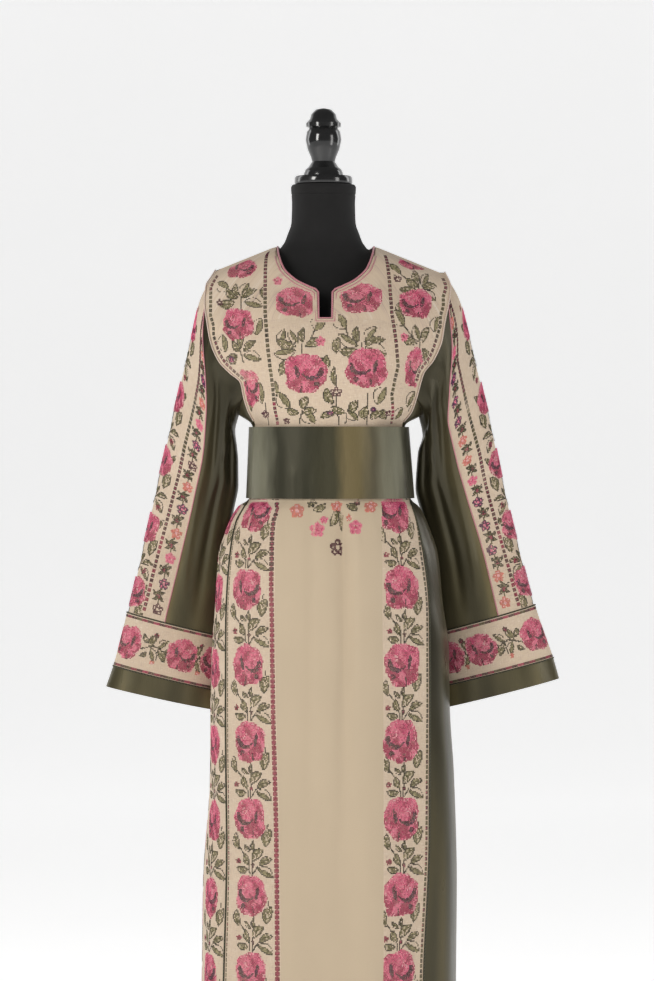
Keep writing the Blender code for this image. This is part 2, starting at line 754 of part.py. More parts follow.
def sleeve_columns(side, part):
    """Pairs of face and share at the root and, beyond it, the same columns' own shares."""
    if part == "strip":
        return [-1.0, -0.75, -0.5, -0.25, 0.0, 0.25, 0.5, 0.75, 1.0]
    _, marks = ARMHOLES[side, part == "back"]
    split = marks[ARM_TS.index(SPLIT_T)]
    return [(mark - split) / (1.0 - split) for mark in marks if mark >= split - 1e-6]


def strip_edge(side, row, back):
    _, marks = ARMHOLES[side, back]
    split = marks[ARM_TS.index(SPLIT_T)]
    wide = SLEEVES[side][6](row)
    fade = (1.0 - min(row / ROOT_FADE, 1.0)) ** 2
    return wide + fade * (split - SLEEVES[side][6](0.0))


def sleeve_grid(side, part, rows):
    places = []
    for row in reversed(rows):
        line = []
        for share in sleeve_columns(side, part):
            if part == "strip":
                turn = share * strip_edge(side, row, share < 0.0)
            else:
                edge = strip_edge(side, row, part == "back")
                turn = edge + (1.0 - edge) * share
                if part == "back":
                    turn = -turn
            line.append((turn, row))
        places.append(line)
    return sampled(lambda turn, row: sleeve_round(side, turn, row), places, (0.02, 0.04))


def sleeve_core(side, row):
    """The middle of a sleeve section."""
    outer_x, outer_z, inner_x, inner_z, middle, _, _ = [curve(row) for curve in SLEEVES[side]]
    return Vector((side * (outer_x + inner_x) / 2.0, middle, (outer_z + inner_z) / 2.0))


def cuff_grid(side, back, rows):
    steps = [0.5 - 0.5 * math.cos(math.pi * k / 10) for k in range(11)]
    places = [[(-h if back else h, row) for h in steps] for row in reversed(rows)]
    return sampled(lambda turn, row: sleeve_round(side, turn, row), places, (0.02, 0.04))


def sleeve_pieces():
    for side, name in ((-1, "left"), (1, "right")):
        for part, finish in (("strip", "linen"), ("front", "satin"), ("back", "satin")):
            grid = sleeve_grid(side, part, SLEEVE_ROWS)
            rims = {"top": "seam", "left": "plain", "right": "plain"}
            wall("sleeve_%s_%s" % (name, part), grid, finish, rims, sleeve_core(side, 3.0))
        for back, face in ((False, "front"), (True, "back")):
            cuff_rows = [CUFF_ROW + CUFF_GAPS[0], CUFF_ROW + 0.5, CUFF_HEM_ROW - CUFF_GAPS[1]]
            cuff = cuff_grid(side, back, cuff_rows)
            hem = cuff_grid(side, back, [CUFF_HEM_ROW + CUFF_GAPS[2], CUFF_HEM_ROW + 1.0])
            rims = {"left": "plain", "right": "plain"}
            core = sleeve_core(side, CUFF_HEM_ROW)
            wall("cuff_%s_%s" % (name, face), cuff, "linen", rims, core)
            wall("cuff_hem_%s_%s" % (name, face), hem, "satin", rims, core)


def neck_path():
    """The neckline's edge, moved into the opening so the piping sits on it."""
    front = []
    for offset in bodice_offsets(False):
        front.append(bodice_point(across(offset), neck_t(offset, False), False))
    behind = []
    for offset in reversed(bodice_offsets(True)[1:-1]):
        behind.append(bodice_point(across(offset), neck_t(offset, True), True))
    edge = front + behind
    path, facings = [], []
    count = len(edge)
    for i, point in enumerate(edge):
        first = (point - edge[i - 1]).normalized()
        second = (edge[(i + 1) % count] - point).normalized()
        facing = (point - Vector((point.x * 0.5, 0.0, NECK_CENTRE_Z))).normalized()
        slide = (facing.cross(first) + facing.cross(second)).normalized()
        path.append(point + slide * (PIPING_RADIUS * 1.3 + SEAM) - facing * WALL * 0.3)
        facings.append(facing)
    return path, facings


def neck_piping():
    path, facings = neck_path()
    tube("neck_piping", path, facings, PIPING_RADIUS, "piping", True)


def armhole_pipings():
    for side, name in ((-1, "left"), (1, "right")):
        path, facings = [], []
        for t in reversed(BODICE_ROWS):
            if t < 0.2:
                continue
            point = armhole_edge(side, t, False)
            facings.append(-inward(point))
            path.append(point + facings[-1] * (CORD_RADIUS * 1.7 + SEAM))
        tube("armhole_piping_" + name, path, facings, CORD_RADIUS, "piping", False)


def dress_form():
    mesh = bmesh.new()
    rings = [[mesh.verts.new((0.0, 0.0, FORM_BOTTOM_Z))]]
    for z, half, front, behind in FORM:
        ring = []
        for k in range(FORM_SIDES):
            turn = 2.0 * math.pi * k / FORM_SIDES
            sine, cosine = math.sin(turn), math.cos(turn)
            depth = behind if sine > 0.0 else front
            ring.append(mesh.verts.new((half * cosine, depth * sine, z)))
        rings.append(ring)
    rings.append([mesh.verts.new((0.0, 0.0, NECK_TOP_Z))])
    join_rings(mesh, rings)
    finish_object("form_torso", mesh, "jersey", FORM_SMOOTH, 0.0)


def stand():
    turned("neck_cap", NECK_CAP, CAP_SIDES, "lacquer")
    turned("base", BASE, BASE_SIDES, "iron")
    pole = [(0.0, BASE_TOP_Z + SEAM), (POLE_RADIUS, BASE_TOP_Z + SEAM)]
    pole += [(POLE_RADIUS, FORM_BOTTOM_Z - SEAM), (0.0, FORM_BOTTOM_Z - SEAM)]
    turned("pole", pole, POLE_SIDES, "iron")


def clear_scene():
    for old in list(bpy.data.objects):
        bpy.data.objects.remove(old)


clear_scene()
bodice_front()
bodice_back()
side_bodies()
neck_piping()
armhole_pipings()
belt_pieces()
skirt_pieces()
sleeve_pieces()
dress_form()
stand()
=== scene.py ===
"""Looks of a long embroidered dress on a limbless dress form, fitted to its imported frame."""

import math

import bpy
import numpy as np
from bpy.props import FloatProperty, FloatVectorProperty, IntProperty, PointerProperty
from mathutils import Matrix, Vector


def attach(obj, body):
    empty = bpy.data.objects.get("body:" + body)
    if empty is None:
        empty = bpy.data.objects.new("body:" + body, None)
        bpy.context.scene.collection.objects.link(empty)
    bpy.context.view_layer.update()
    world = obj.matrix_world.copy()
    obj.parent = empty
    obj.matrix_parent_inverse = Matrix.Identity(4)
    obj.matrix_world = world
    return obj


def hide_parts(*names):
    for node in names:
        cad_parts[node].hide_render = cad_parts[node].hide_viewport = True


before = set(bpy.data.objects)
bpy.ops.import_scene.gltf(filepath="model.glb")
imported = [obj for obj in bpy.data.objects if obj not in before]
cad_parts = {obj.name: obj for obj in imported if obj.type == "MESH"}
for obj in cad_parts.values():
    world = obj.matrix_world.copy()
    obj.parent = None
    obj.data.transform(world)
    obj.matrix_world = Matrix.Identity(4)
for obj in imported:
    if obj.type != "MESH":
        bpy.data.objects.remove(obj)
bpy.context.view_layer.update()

bl_info = {
    "name": "Embroidered Dress",
    "version": (1, 0, 0),
    "blender": (4, 5, 0),
    "location": "View3D > Sidebar > Dress",
    "description": "Builds the cloth, the cross stitch and the form of an embroidered dress",
    "category": "Object",
}

# Sizes shared with the frame, in metres
DRESS_SHIFT = 0.008
SHIFT = np.array([DRESS_SHIFT, 0.0, 0.0])
SIDES = ((-1, "left"), (1, "right"))
SEAM = 0.0003
HEM_Z = 0.035
WAIST_Z = 1.105
SHOULDER_TIP_Z = 1.409
NECK_POINT_Z = 1.450
NECK_HALF = 0.0813
NECK_SHIFT = -0.005
TIP_HALF = 0.183
ARMPIT_T = 0.3184
SPLIT_T = 0.835
SECTION_POWER = 2.2
CROWN_POWER = 2.8
PANEL_HALF = 0.170
PANEL_GRIP = 1.6
BELT_TOP_Z = 1.162
BELT_BOTTOM_Z = 1.0484
SEAM_LEFT_BACK = -112.0
SEAM_RIGHT_BACK = 104.0
CUFF_ROW = 7.0
CUFF_HEM_ROW = 8.0
LAST_ROW = 9.0
ROOT_FADE = 3.0
FOLD_POWER = 0.55
PIPING_RADIUS = 0.0016
LINE_RADIUS = 0.0009
TWIST_RADIUS = 0.0012
SKIRT_CORD_RADIUS = 0.0014

# Bodice edge. Columns: height fraction, left half width, right half width, depth in front, depth behind
EDGE = [
    (0.0000, 0.1160, 0.1170, 0.0310, 0.0290),
    (0.1800, 0.1170, 0.1172, 0.0320, 0.0300),
    (0.2500, 0.1270, 0.1310, 0.0430, 0.0460),
    (0.3184, 0.1336, 0.1385, 0.0500, 0.0580),
    (0.3920, 0.1385, 0.1445, 0.0560, 0.0660),
    (0.4500, 0.1560, 0.1500, 0.0580, 0.0690),
    (0.5225, 0.1735, 0.1650, 0.0580, 0.0690),
    (0.6345, 0.1864, 0.1785, 0.0530, 0.0640),
    (0.7400, 0.1920, 0.1840, 0.0460, 0.0560),
    (0.8350, 0.1960, 0.1900, 0.0360, 0.0440),
    (0.9240, 0.1944, 0.1935, 0.0200, 0.0250),
    (1.0000, 0.1800, 0.1850, 0.0000, 0.0000),
]

# Bodice at its middle. Columns: height fraction, depth in front, depth behind
CROWN = [
    (0.000, 0.1075, 0.0965),
    (0.175, 0.1075, 0.0965),
    (0.304, 0.1180, 0.1030),
    (0.478, 0.1300, 0.1080),
    (0.594, 0.1250, 0.1090),
    (0.710, 0.1090, 0.1050),
    (0.826, 0.0850, 0.0930),
    (0.913, 0.0640, 0.0780),
    (0.970, 0.0400, 0.0500),
    (1.000, 0.0000, 0.0000),
]

# Neckline. Columns: distance from the neck's middle, height in front, height behind
NECKLINE = [
    (0.0120, 1.3305, 1.4336),
    (0.0135, 1.3735, 1.4337),
    (0.0260, 1.3810, 1.4345),
    (0.0450, 1.3905, 1.4370),
    (0.0550, 1.3980, 1.4390),
    (0.0675, 1.4110, 1.4430),
    (0.0770, 1.4340, 1.4470),
    (0.0813, 1.4500, 1.4500),
]

# Side body under the arm. Columns: height, left half width, right half width
UNDERARM = [
    (1.105, 0.1200, 0.1200),
    (1.166, 0.1212, 0.1212),
    (1.175, 0.1340, 0.1390),
    (1.182, 0.1440, 0.1500),
    (1.202, 0.1500, 0.1560),
]

# Skirt sections. Columns: height, left, right, depth in front, depth behind
SKIRT = [
    (1.1050, 0.1200, 0.1210, 0.1070, 0.0960),
    (1.0600, 0.1260, 0.1290, 0.1080, 0.0970),
    (1.0470, 0.1272, 0.1315, 0.1095, 0.0980),
    (1.0340, 0.1450, 0.1456, 0.1170, 0.1070),
    (0.9924, 0.1656, 0.1650, 0.1260, 0.1200),
    (0.9596, 0.1757, 0.1752, 0.1300, 0.1280),
    (0.8812, 0.1811, 0.1832, 0.1350, 0.1390),
    (0.8084, 0.1864, 0.1928, 0.1380, 0.1430),
    (0.7124, 0.1890, 0.1944, 0.1410, 0.1470),
    (0.6052, 0.1896, 0.2008, 0.1440, 0.1510),
    (0.4340, 0.2002, 0.2053, 0.1500, 0.1570),
    (0.2756, 0.2024, 0.2040, 0.1540, 0.1620),
    (0.0350, 0.2110, 0.2120, 0.1610, 0.1700),
]

# Skirt seams in front. Columns: height, side seam left, band left, band right, side seam right
SKIRT_SEAMS = [
    (1.105, -0.1180, -0.0770, 0.0830, 0.1190),
    (1.044, -0.1290, -0.0776, 0.0835, 0.1300),
    (1.010, -0.1464, -0.0815, 0.0840, 0.1400),
    (0.954, -0.1560, -0.0845, 0.0840, 0.1510),
    (0.876, -0.1608, -0.0840, 0.0840, 0.1585),
    (0.725, -0.1608, -0.0815, 0.0850, 0.1592),
    (0.520, -0.1590, -0.0760, 0.0850, 0.1592),
    (0.276, -0.1640, -0.0734, 0.0850, 0.1512),
    (0.035, -0.1680, -0.0730, 0.0850, 0.1500),
]

# Soft folds of the skirt. Columns: angle from the front, width, depth at the top and at the hem, top height
FOLDS = [
    (7.0, 4.5, -0.0060, -0.0010, 1.050),
    (17.0, 8.0, 0.0025, 0.0045, 1.000),
    (-18.0, 8.0, 0.0020, 0.0050, 0.950),
    (-40.0, 7.0, -0.0015, -0.0060, 0.900),
    (-62.0, 9.0, 0.0010, 0.0060, 0.900),
    (42.0, 7.0, -0.0015, -0.0060, 0.900),
    (64.0, 9.0, 0.0010, 0.0060, 0.900),
    (122.0, 9.0, -0.0010, -0.0090, 0.950),
    (142.0, 9.0, 0.0020, 0.0100, 0.980),
    (162.0, 8.0, -0.0020, -0.0090, 0.980),
    (180.0, 9.0, 0.0025, 0.0100, 1.000),
    (-162.0, 8.0, -0.0020, -0.0080, 0.980),
    (-143.0, 9.0, 0.0020, 0.0100, 0.980),
    (-124.0, 9.0, -0.0010, -0.0080, 0.950),
]

# Finer creases of the skirt. Columns: angle, lean in degrees a metre, width, depth, top, bottom
SKIRT_CREASES = [
    (2.0, 3.0, 1.6, -0.0012, 1.046, 0.86),
    (-9.0, -4.0, 1.8, -0.0010, 1.046, 0.90),
    (7.8, -9.0, 2.1, -0.0044, 1.052, 0.30),
    (13.2, -9.0, 2.6, 0.0020, 1.052, 0.34),
    (-6.5, -4.0, 2.4, -0.0024, 1.050, 0.42),
    (-24.0, 6.0, 1.8, -0.0012, 1.046, 0.93),
    (29.0, -5.0, 1.8, -0.0014, 1.046, 0.92),
    (-52.0, 10.0, 2.4, -0.0016, 1.040, 0.88),
    (55.0, -10.0, 2.4, -0.0018, 1.040, 0.86),
    (74.0, 6.0, 2.6, 0.0016, 1.040, 0.80),
    (88.0, -6.0, 2.6, -0.0020, 1.040, 0.60),
    (-82.0, 5.0, 2.6, -0.0018, 1.040, 0.74),
    (111.0, 5.0, 2.4, -0.0020, 1.040, 0.82),
    (131.0, -4.0, 2.0, -0.0022, 1.040, 0.86),
    (149.0, 4.0, 2.2, 0.0020, 1.040, 0.78),
    (167.0, -3.0, 2.0, -0.0022, 1.040, 0.84),
    (186.0, 4.0, 2.0, -0.0020, 1.040, 0.80),
    (204.0, -4.0, 2.2, 0.0020, 1.040, 0.86),
    (223.0, 5.0, 2.2, -0.0022, 1.040, 0.84),
    (239.0, -4.0, 2.2, 0.0018, 1.040, 0.80),
]

# Sleeves. Columns: outer x, outer z, inner x, inner z, middle y, half depth, strip share
SLEEVE_LEFT = [
    (0.1800, 1.4090, 0.1440, 1.1812, 0.004, 0.058, 0.16),
    (0.2056, 1.3652, 0.1495, 1.1560, 0.006, 0.056, 0.27),
    (0.2216, 1.3012, 0.1465, 1.1300, 0.010, 0.054, 0.38),
    (0.2376, 1.2372, 0.1448, 1.1060, 0.018, 0.050, 0.46),
    (0.2568, 1.1572, 0.1448, 1.0708, 0.034, 0.045, 0.50),
    (0.2776, 1.0708, 0.1540, 1.0212, 0.056, 0.041, 0.50),
    (0.3016, 0.9684, 0.1680, 0.9300, 0.074, 0.038, 0.47),
    (0.3261, 0.8628, 0.1776, 0.8252, 0.072, 0.035, 0.42),
    (0.3486, 0.7764, 0.1816, 0.7364, 0.074, 0.033, 0.40),
    (0.3602, 0.7428, 0.1824, 0.7044, 0.074, 0.032, 0.40),
]
SLEEVE_RIGHT = [
    (0.1850, 1.4090, 0.1500, 1.1780, 0.004, 0.058, 0.16),
    (0.2104, 1.3652, 0.1530, 1.1500, 0.006, 0.056, 0.30),
    (0.2280, 1.3012, 0.1440, 1.1220, 0.010, 0.054, 0.43),
    (0.2448, 1.2372, 0.1416, 1.0996, 0.018, 0.050, 0.52),
    (0.2648, 1.1572, 0.1400, 1.0644, 0.034, 0.045, 0.49),
    (0.2840, 1.0708, 0.1500, 1.0212, 0.056, 0.041, 0.46),
    (0.3096, 0.9684, 0.1700, 0.9332, 0.074, 0.038, 0.42),
    (0.3344, 0.8748, 0.1784, 0.8308, 0.072, 0.035, 0.39),
    (0.3640, 0.7892, 0.1832, 0.7428, 0.074, 0.033, 0.38),
    (0.3736, 0.7556, 0.1840, 0.7076, 0.074, 0.032, 0.38),
]

# Sleeve creases. Columns: row and turn where one starts, row and turn where it ends, width, depth
SLEEVE_CREASES = [
    (0.2, 0.56, 5.0, 0.66, 0.050, -0.0070),
    (0.3, 0.70, 4.2, 0.80, 0.040, 0.0048),
    (0.4, 0.84, 5.4, 0.90, 0.040, -0.0060),
    (2.2, 0.50, 6.8, 0.56, 0.045, 0.0040),
    (3.4, 0.76, 6.9, 0.74, 0.040, -0.0045),
    (1.0, 0.93, 4.4, 0.74, 0.026, 0.0030),
    (2.4, 0.34, 4.2, 0.12, 0.028, -0.0016),
    (3.8, 0.40, 5.4, 0.10, 0.030, -0.0018),
    (5.2, 0.36, 6.6, 0.14, 0.030, 0.0014),
    (0.3, -0.58, 4.8, -0.68, 0.048, -0.0065),
    (0.6, -0.76, 4.0, -0.84, 0.038, 0.0046),
    (2.0, -0.54, 6.8, -0.60, 0.045, 0.0040),
    (3.2, -0.80, 6.9, -0.78, 0.040, -0.0045),
    (2.6, -0.36, 4.4, -0.12, 0.028, -0.0016),
    (4.4, -0.40, 6.0, -0.12, 0.030, -0.0016),
]

# Bodice creases in front and behind. Columns: x and z at each end, width, depth, face
BODICE_CREASES = [
    (-0.150, 1.235, -0.085, 1.275, 0.010, -0.0014, -1),
    (-0.135, 1.205, -0.080, 1.225, 0.009, -0.0014, -1),
    (0.140, 1.215, 0.090, 1.245, 0.009, -0.0014, -1),
    (0.150, 1.250, 0.100, 1.285, 0.010, -0.0012, -1),
    (-0.060, 1.165, -0.052, 1.215, 0.007, -0.0012, -1),
    (0.030, 1.165, 0.024, 1.210, 0.007, -0.0012, -1),
    (0.078, 1.165, 0.072, 1.205, 0.006, 0.0010, -1),
    (-0.014, 1.165, -0.010, 1.200, 0.006, 0.0010, -1),
    (-0.060, 1.165, -0.080, 1.300, 0.014, -0.0030, 1),
    (0.062, 1.165, 0.084, 1.290, 0.014, -0.0030, 1),
    (0.000, 1.165, 0.004, 1.330, 0.018, 0.0020, 1),
    (-0.110, 1.200, -0.150, 1.300, 0.014, -0.0025, 1),
    (0.112, 1.200, 0.150, 1.290, 0.014, -0.0025, 1),
    (-0.030, 1.165, -0.026, 1.240, 0.009, -0.0018, 1),
    (0.034, 1.165, 0.030, 1.230, 0.009, -0.0018, 1),
]

# Belt creases. Columns: angle, width, depth, share of the height it fills from the bottom
BELT_CREASES = [
    (-3.0, 1.1, -0.0014, 1.0),
    (-66.0, 4.0, 0.0016, 1.0),
    (-50.0, 5.0, -0.0016, 1.0),
    (-36.0, 4.0, -0.0012, 0.9),
    (-24.0, 2.0, 0.0007, 0.5),
    (-13.0, 2.2, -0.0007, 0.45),
    (8.0, 2.4, 0.0008, 0.5),
    (18.0, 6.0, 0.0017, 1.0),
    (33.0, 4.0, -0.0012, 1.0),
    (47.0, 2.6, 0.0009, 0.6),
    (60.0, 4.0, 0.0014, 1.0),
    (74.0, 3.0, -0.0012, 0.9),
    (108.0, 4.0, 0.0012, 1.0),
    (130.0, 4.4, -0.0014, 1.0),
    (156.0, 5.0, 0.0014, 0.9),
    (180.0, 3.6, -0.0014, 1.0),
    (205.0, 5.0, 0.0014, 1.0),
    (228.0, 4.0, -0.0012, 0.8),
    (250.0, 4.0, 0.0012, 1.0),
]


# Curves and surfaces, all of them taking arrays

def smooth_step(low, high, value):
    t = np.clip((value - low) / (high - low), 0.0, 1.0)
    return t * t * (3.0 - 2.0 * t)


def column(xs, ys):
    """A smooth curve through points that keeps their peaks."""
    xs, ys = np.asarray(xs, float), np.asarray(ys, float)
    if xs[0] > xs[-1]:
        xs, ys = xs[::-1], ys[::-1]
    steps = np.diff(xs)
    slopes = np.diff(ys) / steps
    tangents = np.zeros(len(xs))
    tangents[0], tangents[-1] = slopes[0], slopes[-1]
    for i in range(1, len(slopes)):
        if slopes[i - 1] * slopes[i] > 0.0:
            before = 2.0 * steps[i] + steps[i - 1]
            after = steps[i] + 2.0 * steps[i - 1]
            tangents[i] = (before + after) / (before / slopes[i - 1] + after / slopes[i])

    def value(x):
        x = np.clip(x, xs[0], xs[-1])
        i = np.clip(np.searchsorted(xs, x) - 1, 0, len(steps) - 1)
        t = (x - xs[i]) / steps[i]
        start = (1 + 2 * t) * (1 - t) ** 2 * ys[i] + t * (1 - t) ** 2 * steps[i] * tangents[i]
        end = t * t * (3 - 2 * t) * ys[i + 1] + t * t * (t - 1) * steps[i] * tangents[i + 1]
        return start + end

    return value


def columns(table, numbered=False):
    rows = [(float(i), *row) for i, row in enumerate(table)] if numbered else table
    firsts = [row[0] for row in rows]
    return [column(firsts, [row[i] for row in rows]) for i in range(1, len(rows[0]))]


EDGE_LEFT, EDGE_RIGHT, EDGE_FRONT, EDGE_BACK = columns(EDGE)
CROWN_FRONT, CROWN_BACK = columns(CROWN)
NECK_FRONT, NECK_BACK = columns(NECKLINE)
UNDERARM_LEFT, UNDERARM_RIGHT = columns(UNDERARM)
SKIRT_LEFT, SKIRT_RIGHT, SKIRT_FRONT, SKIRT_BACK = columns(SKIRT)
SEAM_COLUMNS = columns(SKIRT_SEAMS)
SLEEVES = {-1: columns(SLEEVE_LEFT, True), 1: columns(SLEEVE_RIGHT, True)}


def points(x, y, z):
    return np.stack(np.broadcast_arrays(x, y, z), axis=-1).astype(float)


def unit(vectors):
    return vectors / np.maximum(np.linalg.norm(vectors, axis=-1, keepdims=True), 1e-12)


def run_lengths(path):
    """How far along a path each of its points lies."""
    return np.concatenate([[0.0], np.cumsum(np.linalg.norm(np.diff(path, axis=0), axis=1))])


def signed_power(value, power):
    return np.sign(value) * np.abs(value) ** power


def valley(x, z, x0, z0, x1, z1, width):
    """How near a point is to a line, from 1 on it to 0; its ends fade out softly."""
    run, rise = x1 - x0, z1 - z0
    length = math.hypot(run, rise)
    along = ((x - x0) * run + (z - z0) * rise) / length ** 2
    off = ((x - x0) * rise - (z - z0) * run) / length
    ends = smooth_step(-0.1, 0.25, along) * (1.0 - smooth_step(0.7, 1.15, along))
    return np.exp(-(off / width) ** 2) * ends


def shoulder_z(x):
    out = (np.abs(x - NECK_SHIFT) - NECK_HALF) / (TIP_HALF - NECK_HALF)
    return NECK_POINT_Z - (NECK_POINT_Z - SHOULDER_TIP_Z) * np.clip(out, 0.0, 1.0)


def half_width(side, t):
    return np.where(np.asarray(side) < 0, EDGE_LEFT(t), EDGE_RIGHT(t))


def bodice_depth(x, z, t, back):
    edge = EDGE_BACK(t) if back else EDGE_FRONT(t)
    crown = CROWN_BACK(t) if back else CROWN_FRONT(t)
    share = np.minimum(np.abs(x) / half_width(x, t), 1.0)
    depth = edge + (crown - edge) * (1.0 - share ** CROWN_POWER)
    facing = 1 if back else -1
    inside = 1.0 - smooth_step(0.80, 1.0, share)
    for x0, z0, x1, z1, width, push, face in BODICE_CREASES:
        if face == facing:
            depth = depth + push * inside * valley(x, z, x0, z0, x1, z1, width)
    return depth


def bodice_x(c, t):
    grip = np.minimum(np.abs(c), 1.0) ** PANEL_GRIP
    return c * (PANEL_HALF * (1.0 - grip) + half_width(c, t) * grip)


def bodice_point(c, t, back):
    x = bodice_x(c, t)
    z = WAIST_Z + SEAM + t * (shoulder_z(x) - WAIST_Z - SEAM)
    depth = bodice_depth(x, z, t, back)
    return points(x, depth if back else -depth, z)


def bodice_level(x, z):
    """A point of the bodice's front at a place seen from straight in front."""
    t = np.clip((z - WAIST_Z - SEAM) / (shoulder_z(x) - WAIST_Z - SEAM), 0.0, 1.0)
    return points(x, -bodice_depth(x, z, t, False), z)


def across(offset):
    x = offset + NECK_SHIFT
    c = x / PANEL_HALF
    for _ in range(6):
        c = c + (x - bodice_x(c, 0.9)) / PANEL_HALF
    return c


def neck_t(offset, back):
    z = (NECK_BACK if back else NECK_FRONT)(np.abs(offset))
    t = (z - WAIST_Z - SEAM) / (NECK_POINT_Z - WAIST_Z - SEAM)
    return np.where(np.abs(offset) >= NECK_HALF - 1e-6, 1.0, t)


def armpit_dip(side):
    t = ARMPIT_T
    x = float(half_width(side, t))
    z = WAIST_Z + SEAM + t * (shoulder_z(x * side) - WAIST_Z - SEAM)
    return float(z - SLEEVES[side][3](0.0))


def underarm_point(side, w, v):
    t = v * ARMPIT_T
    front = bodice_point(np.full_like(t, side), t, False)
    behind = bodice_point(np.full_like(t, side), t, True)
    point = front + (behind - front) * w[..., None]
    point[..., 2] -= v * armpit_dip(side) * (1.0 - (2.0 * w - 1.0) ** 2)
    wide = (UNDERARM_LEFT if side < 0 else UNDERARM_RIGHT)(point[..., 2])
    swell = 1.0 - np.abs(2.0 * w - 1.0) ** 2.2
    point[..., 0] = side * (np.abs(front[..., 0]) + (wide - np.abs(front[..., 0])) * swell)
    return point


def armhole_line(side, back):
    """The armhole from the shoulder tip to the armpit, and each point's share of its length."""
    ts = np.linspace(1.0, ARMPIT_T, 60)
    ws = np.linspace(0.02, 0.5, 25)
    top = bodice_point(np.full_like(ts, side), ts, back)
    under = underarm_point(side, 1.0 - ws if back else ws, np.ones_like(ws))
    line = np.concatenate([top, under])
    lengths = run_lengths(line)
    marks = lengths / lengths[-1]
    split = float(np.interp(-SPLIT_T, -ts, marks[:60]))
    return line, marks, split


ARMHOLES = {(side, back): armhole_line(side, back) for side in (-1, 1) for back in (False, True)}


def sleeve_plane(side, row, h, back):
    outer_x, outer_z, inner_x, inner_z, middle, depth, _ = [curve(row) for curve in SLEEVES[side]]
    bulge = depth * np.maximum(4.0 * h * (1.0 - h), 0.0) ** FOLD_POWER
    x = outer_x + (inner_x - outer_x) * h
    z = outer_z + (inner_z - outer_z) * h
    return points(side * x, middle + np.where(back, bulge, -bulge), z)


def sleeve_point(side, turn, row):
    """A point round the sleeve: turn is 0 at the outer fold, 1 at the inner one, negative behind."""
    turn = np.where(turn > 1.0, turn - 2.0, np.where(turn < -1.0, turn + 2.0, turn))
    row = np.maximum(row, 0.0)
    back, h = turn < 0.0, np.abs(turn)
    point = sleeve_plane(side, row, h, back)
    fade = np.clip(1.0 - row / ROOT_FADE, 0.0, 1.0) ** 2
    root = sleeve_plane(side, np.zeros_like(row), h, back)
    meet = np.zeros_like(point)
    for face in (False, True):
        line, marks, _ = ARMHOLES[side, face]
        on = np.stack([np.interp(h, marks, line[:, i]) for i in range(3)], axis=-1)
        meet = np.where((back == face)[..., None], on, meet)
    point = point + fade[..., None] * (meet - root)
    push = np.zeros_like(h)
    for row0, turn0, row1, turn1, width, depth in SLEEVE_CREASES:
        side_of = np.sign(turn0)
        near = valley(np.abs(turn), row / 8.0, abs(turn0), row0 / 8.0, abs(turn1), row1 / 8.0, width)
        push += np.where(np.sign(turn) == side_of, depth * near, 0.0)
    push *= smooth_step(0.0, 0.8, row) * (1.0 - smooth_step(6.2, 7.0, row)) * smooth_step(0.0, 0.06, 1.0 - h)
    middle = SLEEVES[side][4](row)
    out = unit(points(0.0, point[..., 1] - middle, 0.0))
    return point + out * push[..., None]


def strip_edge(side, row, back):
    split = ARMHOLES[side, back][2]
    wide = SLEEVES[side][6](row)
    fade = np.clip(1.0 - row / ROOT_FADE, 0.0, 1.0) ** 2
    return wide + fade * (split - SLEEVES[side][6](0.0))


def ring_point(left, right, front, behind, angle, z, push):
    middle, half = (right - left) / 2.0, (right + left) / 2.0
    sine, cosine = np.sin(np.radians(angle)), np.cos(np.radians(angle))
    x = middle + half * signed_power(sine, 2.0 / SECTION_POWER)
    y = -np.where(cosine > 0.0, front, behind) * signed_power(cosine, 2.0 / SECTION_POWER)
    return points(x + push * sine, y - push * cosine, z)


def turned_off(angle, middle):
    return (angle - middle + 180.0) % 360.0 - 180.0


def skirt_point(angle, z):
    push = np.zeros(np.broadcast(angle, z).shape)
    for fold_angle, width, top_depth, hem_depth, top in FOLDS:
        away = turned_off(angle, fold_angle)
        share = np.maximum((top - z) / (top - HEM_Z), 0.0)
        depth = top_depth + (hem_depth - top_depth) * share
        push = push + smooth_step(0.0, 0.06, share) * depth * np.exp(-(away / width) ** 2)
    for crease_angle, lean, width, depth, top, bottom in SKIRT_CREASES:
        away = turned_off(angle, crease_angle + lean * (top - z))
        rise = smooth_step(bottom, bottom + 0.6 * (top - bottom), z)
        length = rise * (1.0 - smooth_step(top - 0.03, top, z))
        push = push + depth * length * np.exp(-(away / width) ** 2)
    return ring_point(SKIRT_LEFT(z), SKIRT_RIGHT(z), SKIRT_FRONT(z), SKIRT_BACK(z), angle, z, push)


def seam_angle(z, x):
    left, right = SKIRT_LEFT(z), SKIRT_RIGHT(z)
    middle, half = (right - left) / 2.0, (right + left) / 2.0
    share = np.minimum(np.abs(x - middle) / half, 0.985)
    return np.sign(x - middle) * np.degrees(np.arcsin(share ** (SECTION_POWER / 2.0)))


def belt_point(angle, z):
    share = (BELT_TOP_Z - z) / (BELT_TOP_Z - BELT_BOTTOM_Z)
    push = np.zeros(np.broadcast(angle, z).shape)
    for crease_angle, width, depth, fills in BELT_CREASES:
        fade = smooth_step(1.0 - fills, 1.0 - 0.6 * fills, share) if fills < 1.0 else 1.0
        push = push + depth * fade * np.exp(-(turned_off(angle, crease_angle) / width) ** 2)
    left, right = 0.1275 + 0.0045 * share, 0.1288 + 0.0088 * share
    return ring_point(left, right, 0.1125 + 0.002 * share, 0.1015 + 0.002 * share, angle, z, push)


# Sheets of cloth on those surfaces

CLOTH = 0.0012
CLOTH_ANGLE = 50.0
TURNED_ANGLE = 38.0


def between(low, high, count, rows):
    """Rows of a surface's two numbers, each row running from its own low to its own high."""
    shares = np.linspace(0.0, 1.0, count)
    first = low[:, None] + (high - low)[:, None] * shares[None, :]
    return first, np.broadcast_to(rows[:, None], first.shape).copy()


